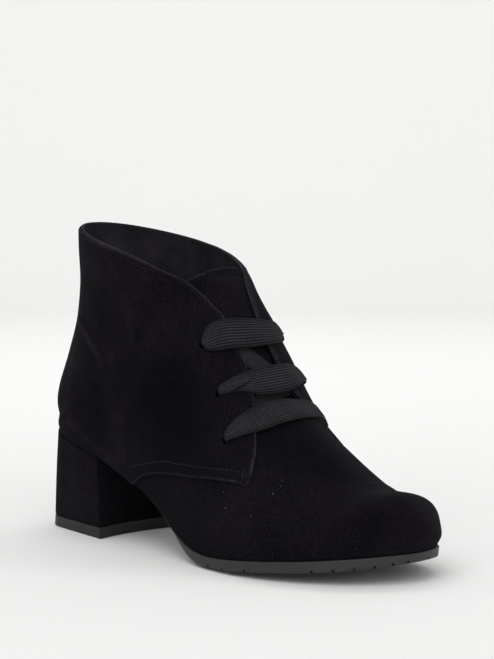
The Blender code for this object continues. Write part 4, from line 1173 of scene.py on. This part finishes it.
# ---------------------------------------------------------------- laces
# edges of each bar as (length from the crest, section), upper edge then lower edge; heights over the last
BARS_TOP = {
    "1": [(-28.0, 11.50), (-27.4, 11.66), (-26.0, 11.84), (-23.0, 12.12), (-20.0, 12.24), (-16.0, 12.22), (-11.0, 12.11), (-3.5, 11.94), (5.0, 11.84), (11.6, 11.77), (15.0, 11.88), (22.5, 11.8), (26.4, 11.6), (28.6, 11.45)],
    "2": [(-30.2, 9.38), (-29.4, 9.44), (-26.0, 9.46), (-21.8, 9.48), (-13.0, 9.48), (-5.6, 9.5), (4.9, 9.54), (19.3, 9.64), (26.0, 9.5), (31.0, 9.3)],
    "3": [(-38.0, 7.84), (-37.0, 7.93), (-33.5, 8.03), (-29.0, 8.1), (-23.0, 8.12), (-16.0, 8.08), (-6.3, 8.06), (3.2, 8.03), (19.0, 8.1), (30.0, 8.05), (36.0, 7.95), (39.0, 7.8)],
}
BARS_LOW = {
    "1": [(-28.0, 11.28), (-27.5, 11.1), (-26.4, 10.93), (-24.2, 10.80), (-20.0, 10.67), (-13.0, 10.51), (-4.0, 10.42), (2.0, 10.43), (12.0, 10.55), (22.5, 10.88), (27.0, 11.2), (28.6, 11.35)],
    "2": [(-30.2, 9.16), (-29.0, 9.08), (-25.0, 8.98), (-21.0, 8.84), (-17.5, 8.68), (-12.5, 8.44), (-4.0, 8.34), (4.5, 8.4), (12.0, 8.58), (21.8, 8.94), (28.0, 9.15), (31.0, 9.25)],
    "3": [(-38.0, 7.70), (-37.4, 7.61), (-36.0, 7.54), (-31.0, 7.36), (-25.0, 7.16), (-17.5, 7.04), (-10.0, 7.0), (-1.4, 7.05), (8.0, 7.14), (14.0, 7.26), (18.0, 7.37), (28.0, 7.52), (36.0, 7.68), (39.0, 7.75)],
}
# height of each bar's under face over the last at the outer side, its dip between the facings, its thickness, and the height at the inner side
BAR_HEIGHT = {"1": (0.42, 0.9, 1.5, 0.42), "2": (0.6, 0.8, 1.5, 0.25), "3": (1.5, 0.25, 1.5, 0.35)}
WEAVE_PITCH, WEAVE_RIBS = 0.95, 11


def weave(along, across):
    """Height from 0 to 1 of a flat woven lace: ribs along it, each of slanting yarns. Lengths in millimetres, across from -1 to 1."""
    rib = (across * 0.5 + 0.5) * WEAVE_RIBS
    number, place = np.floor(rib), rib - np.floor(rib) - 0.5
    lean = np.where(number % 2 > 0, 1.0, -1.0) * place * 0.9
    yarn = 0.5 + 0.5 * np.cos(2 * math.pi * (along / WEAVE_PITCH + lean + 0.5 * (number % 2)))
    return np.clip((1 - (2 * place) ** 2 * 0.8) * (0.35 + 0.65 * yarn), 0, 1)


def lace_ring(top=74, low=18):
    """Points round a soft flat ribbon: across it and through its thickness, both from -1 to 1."""
    edge = np.array([1.0, 0.992, 0.97, 0.94])
    v = np.concatenate([edge, np.linspace(0.905, -0.905, top), -edge[::-1], np.linspace(-0.94, 0.94, low)])
    up = np.concatenate([np.ones(top + 8), -np.ones(low)])
    return v, up * np.sqrt(np.maximum(1 - np.abs(v) ** 3, 0))


def make_bar(row, n=360):
    base, dip, thick, base_in = BAR_HEIGHT[row]
    upper, lower = (monotone(*np.array(rows).T) for rows in (BARS_TOP[row], BARS_LOW[row]))
    reach_out, reach_in = BARS_TOP[row][0][0], BARS_TOP[row][-1][0]
    bend = 1.7
    drop = np.linspace(0, math.pi / 2, 14)
    straight = np.linspace(0.2, 3.4, 9)
    arc = np.concatenate([np.full(9, reach_out), reach_out + bend * (1 - np.sin(drop[::-1])), np.linspace(reach_out + bend, reach_in - bend, n)[1:-1], reach_in - bend * (1 - np.sin(drop)), np.full(9, reach_in)])
    sink = np.concatenate([bend + straight[::-1], bend * (1 - np.cos(drop[::-1])), np.zeros(n - 2), bend * (1 - np.cos(drop)), bend + straight])
    tilt = np.concatenate([np.full(9, math.pi / 2), drop[::-1], np.zeros(n - 2), drop, np.full(9, math.pi / 2)])
    end = np.where(arc < 0, -1.0, 1.0)
    clear = np.clip(arc, reach_out + 0.01, reach_in - 0.01)
    mid, wide = (upper(clear) + lower(clear)) / 2, (upper(clear) - lower(clear)) / 2
    mm = pace(mid, arc)
    wide = np.maximum(wide, 1.5 / mm)
    # a lace pulled together at a hole gets thicker as it gets narrower
    gather = np.clip(1 - wide * mm / 6.5, 0, 1)
    half_thick = thick / 2 * (1 + 0.35 * gather)
    left, right = -float(facing_arc[-1](mid[len(mid) // 2])), float(facing_arc[1](mid[len(mid) // 2]))
    sag = dip * np.maximum(1 - ((arc - (left + right) / 2) / ((right - left) / 2 + 2)) ** 2, 0)
    along = np.concatenate([[0], np.cumsum(np.hypot(np.diff(arc), np.diff(sink)))])
    base = base + (base_in - base) * ease(-15.0, 12.0, arc)
    v, w = lace_ring()
    S = mid[:, None] + wide[:, None] * v
    h = (base + half_thick - sag - sink)[:, None] + np.zeros(len(v))
    # the pattern is also the colour mark: painted shade in the weave's hollows and toward the ribbon's rounded edges
    pattern = weave(along[:, None], v[None] * np.where(w >= 0, 1, -1)) * np.abs(w) ** 0.5
    t = w * half_thick[:, None] * (1 - 0.22 * v ** 2) + np.sign(w) * 0.3 * (pattern - 0.5) * np.abs(w) ** 0.5 * (1 - 0.6 * gather[:, None])
    # folds running along the lace where it is gathered
    fold = 0.38 * gather[:, None] * np.cos(2.2 * math.pi * v + 0.6) * np.where(w > 0, 1, 0.6) * (1 - tilt[:, None] / (math.pi / 2))
    a = arc[:, None] + 0 * v
    extra = fold
    if row == "2":
        line = -0.52 + 0.096 * (a + 21.0)
        slit = ease(-27.5, -24.0, a) * (1 - ease(-17.5, -11.0, a)) * (w > 0)
        swell = ease(-28.5, -24.0, a) * (1 - ease(-22.0, -7.0, a)) * (w > 0)
        extra = extra - 1.2 * np.exp(-((v - line) / 0.11) ** 2) * slit + 0.3 * np.exp(-((v - line - 0.42) / 0.3) ** 2) * swell
    if row == "3":
        extra = extra - 0.7 * np.exp(-((a + 34.5) / 2.6) ** 2 - ((v - 0.15) / 0.3) ** 2)
    if row == "1":
        extra = extra - 0.5 * np.exp(-((a + 24.0) / 3.5) ** 2 - ((v - 0.3) / 0.25) ** 2) - 0.35 * np.exp(-((a - 13.0) / 5.0) ** 2 - ((v - 0.9) / 0.4) ** 2)
    wave = 0.16 * np.sin(0.33 * a + 1.3 * v + 2.1 * float(row)) * (1 - gather[:, None])
    turned_arc = a + end[:, None] * (t + extra * 0.3) * np.sin(tilt)[:, None]
    height = h + (t + extra + wave) * np.cos(tilt)[:, None]
    height = np.maximum(height, np.where(tilt[:, None] < 0.4, (base - 0.12 - sag - sink)[:, None], -99))
    p, m = surf(np.clip(S, 5, S_END), turned_arc)
    verts = p + m * height[..., None]
    return loops_solid(verts), pattern.reshape(-1)


CROSS_PATHS = {
    "lace_cross_1": ([(11.2, -20.0), (10.5, -13.0), (9.85, -5.5), (9.3, 3.0), (9.2, 12.0), (9.25, 21.0)], 11.0),
    "lace_cross_2": ([(7.95, -27.0), (8.25, -14.0), (8.55, -3.0), (8.85, 9.0), (9.05, 20.0)], 11.5),
}


def make_cross(name, n=220):
    rows, width = CROSS_PATHS[name]
    _, s, arc = curve_on(rows, 0.2)
    pick = np.linspace(0, len(s) - 1, n).astype(int)
    s, arc = s[pick], arc[pick]
    p, m = surf(s, arc)
    along = lengths(p)
    tangent = unit(np.gradient(p, axis=0))
    lateral = unit(np.cross(m, tangent))
    v, w = lace_ring()
    # the pattern is also the colour mark: painted shade in the weave's hollows and toward the ribbon's rounded edges
    pattern = weave(along[:, None], v[None] * np.where(w >= 0, 1, -1)) * np.abs(w) ** 0.5
    thick = CROSS_THICK / 2
    t = w * thick * (1 - 0.2 * v ** 2) + np.sign(w) * 0.24 * (pattern - 0.6) * np.abs(w) ** 0.5
    # the ribbon follows the surface across its width
    level = -CROSS_TOP - thick
    lift = 0.12 * np.sin(0.3 * along)[:, None] * v
    centre = p[:, None] + lateral[:, None] * (v * width / 2)[None, :, None]
    ds = np.einsum("ijk,ik->ij", centre - p[:, None], unit(surf(np.minimum(s + 0.05, S_END), arc)[0] - p)) / pace(s, arc)[:, None]
    da = np.einsum("ijk,ik->ij", centre - p[:, None], unit(surf(s, arc + 0.4)[0] - p))
    q, mm = surf(np.clip(s[:, None] + ds, 5, S_END), arc[:, None] + da)
    return loops_solid(q + mm * (level + t + lift)[..., None]), pattern.reshape(-1)


# ---------------------------------------------------------------- sole and heel
# lateral places of the small slots of the tread that show in the lower edge
TREAD_U = [154.7, 165.1, 179.4, 211.8, 220.1, 227.3, 233.3, 237.9, 241.0]
under_line = monotone([r[0] for r in UNDER], [r[1] for r in UNDER])


def sole_bottom(u, rel):
    hi_low = TOE + SOLE_PROUD - 0.5
    tip = ease(hi_low - 25, hi_low, u)
    lift = SOLE_EDGE_LIFT * (tip + (1 - tip) * ease(0.6, 1.0, np.abs(rel))) * ease(85, 125, u)
    return np.minimum(under_line(u) + lift, feather_z(np.minimum(u, TOE)) - GAP - SOLE_LEAST)


def make_outsole(n=210, across=34):
    lo = HEEL_FRONT_TOP + GAP
    u = stations(lo, TOE, n, False, True)
    outline = {side: np.stack([x_mid(u) + side * np.sqrt(np.maximum((out_sq if side < 0 else in_sq)(u), 0)), u], -1) for side in (-1, 1)}
    normal = {}
    for side in (-1, 1):
        t = np.gradient(outline[side], axis=0)
        t[-1] = (side * -1.0, 0.0)
        normal[side] = unit(np.stack([side * t[:, 1], -side * t[:, 0]], -1))
        normal[side][-1] = (0.0, 1.0)
    # levels of the wall: how far out, share of the height from top to bottom, and millimetres added
    wall = [(-1.2, 0, 0.0), (SOLE_PROUD - 0.55, 0, 0.0), (SOLE_PROUD - 0.22, 0, -0.06), (SOLE_PROUD - 0.05, 0, -0.22), (SOLE_PROUD, 0, -0.5)]
    wall += [(SOLE_PROUD - 0.4 * t, t, -0.5 + 1.3 * t) for t in (0.2, 0.4, 0.6, 0.8)]
    wall += [(SOLE_PROUD - 0.42, 1, 0.8), (SOLE_PROUD - 0.5, 1, 0.45), (SOLE_PROUD - 0.72, 1, 0.16), (SOLE_PROUD - 1.1, 1, 0.02), (SOLE_PROUD - 1.7, 1, 0.0)]
    share = 1 - np.clip((u - lo) / 40, 0, 1)

    def level(side, out, t, more):
        xy = outline[side] + out * normal[side]
        xy[:, 0] -= side * (SOLE_TUCK * (1 - ease(100, 132, u)) + 0.9 * (1 - ease(92, 118, u)))
        top, low = feather_z(np.minimum(xy[:, 1], TOE)) - GAP, sole_bottom(xy[:, 1], np.full(n, 1.0))
        z = top + (low - top) * t + more * np.clip((top - low) / 3.2, 0, 1)
        return np.stack([xy[:, 0], xy[:, 1], z], -1)

    sides = {side: [level(side, *row) for row in wall] for side in (-1, 1)}
    r = np.linspace(-1, 1, across + 2)[1:-1]

    def span(a, b, bottom):
        made = []
        for v in r:
            p = a + (b - a) * (v + 1) / 2
            p[:, 1] = p[:, 1] + hollow(share, v)
            rel = np.sign(v) * np.abs(v)
            p[:, 2] = sole_bottom(p[:, 1], np.full(n, rel)) if bottom else feather_z(np.minimum(p[:, 1], TOE)) - GAP
            made.append(p)
        return made

    ring = sides[-1] + span(sides[-1][-1], sides[1][-1], True) + sides[1][::-1] + span(sides[1][0], sides[-1][0], False)
    loops = np.stack(ring, 1)
    verts, faces = loops_solid(loops, True, False)
    return closed(verts, faces)


def make_tread_cutters(width=1.25, depth=1.25, inward=11.0):
    """Slots that cross the sole's lower edge square to its outline."""
    made = []
    for at in TREAD_U:
        for side in (-1, 1):
            edge = lambda u: np.array([float(x_mid(u)) + side * math.sqrt(max(float((out_sq if side < 0 else in_sq)(u)), 0.0)), u])
            e = min(0.4, (TOE - at) / 3)
            along = unit(edge(at + e) - edge(at - e))
            out = np.array([side * along[1], -side * along[0]])
            top, bottom = [], []
            for w in (-width / 2, width / 2):
                row = np.array([edge(at) + along * w + out * d for d in np.linspace(-inward, 3.0, 15)])
                centre = float(x_mid(at))
                rel = np.clip((row[:, 0] - centre) / max(abs(edge(at)[0] - centre), 1.0), -1, 1)
                z = sole_bottom(np.minimum(row[:, 1], TOE + 0.3), rel) + depth * ease(-inward, -inward + 4, np.linspace(-inward, 3.0, 15)) + 0.02
                top.append(np.column_stack([row, z]))
                bottom.append(np.column_stack([row, z - 8.0]))
            made.append(slab(np.array(top), np.array(bottom)))
    return joined(made)


def soften(loop, sigma):
    """Loop of evenly spaced points with its corners rounded."""
    d = np.concatenate([loop, loop[:1]])
    total = lengths(d)[-1]
    n = len(loop)
    even = walk(d, np.linspace(0, total, n, endpoint=False))
    step = total / n
    reach = int(4 * sigma / step) + 1
    kernel = np.exp(-0.5 * (np.arange(-reach, reach + 1) * step / sigma) ** 2)
    kernel /= kernel.sum()
    return np.stack([np.convolve(np.concatenate([even[-reach:, i], even[:, i], even[:reach, i]]), kernel, "valid") for i in range(2)], -1)


def heel_loop(level, n=420):
    """Plan of the heel at a level, as a closed loop of (x, u)."""
    shares = stations(0, 1, 90, True, False)
    grid = heel_grid(shares, 31, level, lambda u: 0.0)
    loop = np.concatenate([grid[:, 0], grid[-1, 1:-1], grid[::-1, -1][:-1]])[:, :2]
    d = np.concatenate([loop, loop[:1]])
    return soften(walk(d, np.linspace(0, lengths(d)[-1], n, endpoint=False)), 0.55)


def heel_stack(levels, top_z, low_z):
    """Heel piece from levels of (share of the full heel height, inset, share of this piece's height, millimetres added)."""
    loops = []
    for level, inset, t, more in levels:
        p = heel_loop(level)
        tangent = np.roll(p, -1, 0) - np.roll(p, 1, 0)
        nrm = unit(np.stack([tangent[:, 1], -tangent[:, 0]], -1))
        if np.sum(nrm * (p - p.mean(0))) < 0:
            nrm = -nrm
        p = p - inset * nrm
        lower, upper = low_z(p[:, 1]), top_z(p[:, 1])
        loops.append(np.stack([p[:, 0], p[:, 1], lower + (upper - lower) * t + more], -1))
    first, last = loops[0], loops[-1]

    def closing(loop, z):
        rings, c0 = [], loop.mean(0)
        for scale in (0.75, 0.5, 0.25, 0.04):
            q = c0 + (loop - c0) * scale
            q[:, 2] = z(q[:, 1])
            rings.append(q)
        return rings

    every = np.array(closing(first, low_z)[::-1] + loops + closing(last, top_z))
    return closed(*loops_solid(every))


def make_heel_block():
    low = (LIFT_THICK + GAP) / 46.0
    top = lambda u: feather_z(np.maximum(u, o["u"][0])) - GAP
    bottom = lambda u: np.full(len(u), LIFT_THICK + GAP)
    levels = [(low, 0.75, 0, 0.0), (low, 0.34, 0, 0.1), (low, 0.1, 0, 0.32), (low, 0.0, 0, 0.7)]
    levels += [(low + (1 - low) * t, -0.25 * math.sin(math.pi * t), t, 0.7 - 1.5 * t) for t in np.linspace(0.04, 0.97, 40)]
    levels += [(1.0, 0.0, 1, -0.75), (1.0, 0.12, 1, -0.38), (1.0, 0.42, 1, -0.12), (1.0, 0.85, 1, 0.0)]
    return heel_stack(levels, top, bottom)


def make_heel_lift():
    top = lambda u: np.full(len(u), LIFT_THICK)
    bottom = lambda u: np.zeros(len(u))
    edge = LIFT_THICK / 46.0
    levels = [(0, 0.7, 0, 0.0), (0, 0.3, 0, 0.09), (0, 0.08, 0, 0.3), (0, 0.0, 0, 0.65)]
    levels += [(edge * t, 0.0, t, 0.65 - 1.1 * t) for t in (0.2, 0.4, 0.6, 0.8)]
    levels += [(edge, 0.0, 1, -0.45), (edge, 0.07, 1, -0.2), (edge, 0.25, 1, -0.05), (edge, 0.55, 1, 0.0)]
    return heel_stack(levels, top, bottom)


def make_insole(n=120, k=41):
    e_out, e_in, lo, hi = offset_edges(-INSOLE_INSET)
    us = stations(lo, hi, n, True, True)
    rel = np.linspace(-1, 1, k)
    rel = np.sign(rel) * (1 - (1 - np.abs(rel)) ** 1.3)
    x = (e_out(us) + e_in(us))[:, None] / 2 + (e_in(us) - e_out(us))[:, None] / 2 * rel
    u = us[:, None] + 0 * x
    z = feather_z(u)
    edge = (1 - np.abs(rel))[None] * ((e_in(us) - e_out(us))[:, None] / 2)
    crown = INSOLE_THICK - 0.8 * (1 - np.sqrt(1 - (1 - np.clip(edge / 2.5, 0, 1)) ** 2))
    return slab(np.stack([x, u, z + crown], -1), np.stack([x, u, z], -1))


# ---------------------------------------------------------------- pieces in the scene
def punch(rows):
    """Cutters for the punched lace holes."""
    made = []
    for name, _, _, _ in rows:
        for side in (-1, 1):
            edge = BARS_TOP[name][0 if side < 0 else -1]
            low = BARS_LOW[name][0 if side < 0 else -1]
            p, m = surf(np.array([(edge[1] + low[1]) / 2]), np.array([edge[0] + side * 0.95]))
            p, m = p[0], m[0]
            side_a = unit(np.cross(m, [0.2, 0.7, 0.6]))
            side_b = np.cross(m, side_a)
            turn = np.linspace(0, 2 * math.pi, 28, endpoint=False)
            circle = 1.9 * (np.cos(turn)[:, None] * side_a + np.sin(turn)[:, None] * side_b)
            made.append(closed(*loops_solid(np.array([p + m * h + circle for h in (-3.4, 4.5)]))))
    return joined(made)


quarters = add("quarters", make_quarters(), SUEDE)
cut(quarters, bare("hole_cutters", punch(HOLES)))
vamp = add("vamp", make_vamp(), SUEDE)
lining = add("upper_lining", make_lining(), LINING)
cut(lining, bare("hole_cutters", punch(HOLES)))
seam_stitches = add("seam_stitches", make_seam_stitches(), THREAD)
rim_stitches = add("rim_stitches", make_rim_stitches(), THREAD_DARK)
lint = add("lint", make_lint(), FLUFF)
for piece in (quarters, vamp, lining, seam_stitches, rim_stitches, lint):
    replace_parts(piece, "upper")

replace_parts(add("tongue_look", make_tongue(), SUEDE), "tongue")
for row in ("1", "2", "3"):
    made, pattern = make_bar(row)
    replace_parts(add("lace_bar_%s_look" % row, made + (pattern,), LACE, sharp=0), "lace_bar_" + row)
for name in ("lace_cross_1", "lace_cross_2"):
    made, pattern = make_cross(name)
    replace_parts(add(name + "_look", made + (pattern,), LACE, sharp=0), name)

outsole = add("outsole_look", make_outsole(), RUBBER, sharp=60)
cut(outsole, bare("tread_cutters", make_tread_cutters()))
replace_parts(outsole, "outsole")
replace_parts(add("heel_block_look", make_heel_block(), SUEDE), "heel_block")
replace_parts(add("heel_lift_look", make_heel_lift(), LIFT), "heel_lift")
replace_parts(add("insole_look", make_insole(), LINING), "insole")

# ---------------------------------------------------------------- floor, light and camera
def make_floor():
    """Pale paper, flat under the boot and rising in a wide curve all round."""
    line = [(0.25, 0.0), (0.8, 0.0), (1.6, 0.0), (2.2, 0.0)]
    line += [(2.2 + 1.3 * math.sin(t), 1.7 - 1.7 * math.cos(t)) for t in np.linspace(0, math.pi / 2, 40)[1:]]
    around = 120
    verts = [Vector((0, 0, 0))] + [Vector((r * math.cos(a), r * math.sin(a), z)) for r, z in line for a in np.linspace(0, 2 * math.pi, around, endpoint=False)]
    faces = [(0, 1 + j, 1 + (j + 1) % around) for j in range(around)]
    faces += [(1 + i * around + j, 1 + (i + 1) * around + j, 1 + (i + 1) * around + (j + 1) % around, 1 + i * around + (j + 1) % around) for i in range(len(line) - 1) for j in range(around)]
    mesh = bpy.data.meshes.new("floor")
    mesh.from_pydata(verts, [], faces)
    mesh.shade_smooth()
    m, tree, shader = material("paper", (0.88, 0.88, 0.872), 0.9, 0.1)
    mesh.materials.append(m)
    floor = bpy.data.objects.new("floor", mesh)
    bpy.context.scene.collection.objects.link(floor)
    return floor


CAMERA_AZ, CAMERA_EL, CAMERA_D, CAMERA_F = -43.6705, 3.7059, 899.2009, 1805.6847
TARGET = (10.6904 - ORIGIN_X, -123.679 + ORIGIN_U, 109.4413)
az, el = math.radians(CAMERA_AZ), math.radians(CAMERA_EL)
back = Vector((math.sin(az) * math.cos(el), -math.cos(az) * math.cos(el), math.sin(el)))
target = Vector(TARGET) * 0.001
view = bpy.data.cameras.new("view")
view.sensor_fit, view.sensor_height, view.sensor_width = "VERTICAL", 36.0, 27.0
view.lens = CAMERA_F * 36.0 / 659.0
camera = bpy.data.objects.new("view", view)
camera.location = target + back * CAMERA_D * 0.001
camera.rotation_euler = back.to_track_quat("Z", "Y").to_euler()
bpy.context.scene.collection.objects.link(camera)
bpy.context.scene.camera = camera

make_floor()


def area(name, place, aim, size, watts):
    data = bpy.data.lights.new(name, "AREA")
    data.shape, data.size, data.energy = "SQUARE", size, watts
    lamp = bpy.data.objects.new(name, data)
    lamp.location = place
    lamp.rotation_euler = (Vector(place) - Vector(aim)).to_track_quat("Z", "Y").to_euler()
    bpy.context.scene.collection.objects.link(lamp)
    return lamp


right, forward = Vector((math.cos(az), math.sin(az), 0)), Vector((-math.sin(az), math.cos(az), 0))
area("key", right * -0.6 - forward * 1.15 + Vector((0, 0, 1.4)), (0, 0, 0.08), 1.4, 11)
area("front", right * 0.6 - forward * 1.7 + Vector((0, 0, 0.75)), (0, 0, 0.08), 1.6, 12)
area("above", Vector((0, 0, 2.0)) - forward * 0.1 - right * 0.2, (0, 0, 0), 1.8, 4)
area("backdrop", forward * 0.9 + Vector((0, 0, 2.2)), forward * 3.2 + Vector((0, 0, 0.5)), 1.8, 30)
world = bpy.context.scene.world or bpy.data.worlds.new("world")
bpy.context.scene.world = world
world.use_nodes = True
world.node_tree.nodes["Background"].inputs["Color"].default_value = (1, 1, 1, 1)
world.node_tree.nodes["Background"].inputs["Strength"].default_value = 0.5
bpy.context.scene.view_settings.view_transform = "Standard"
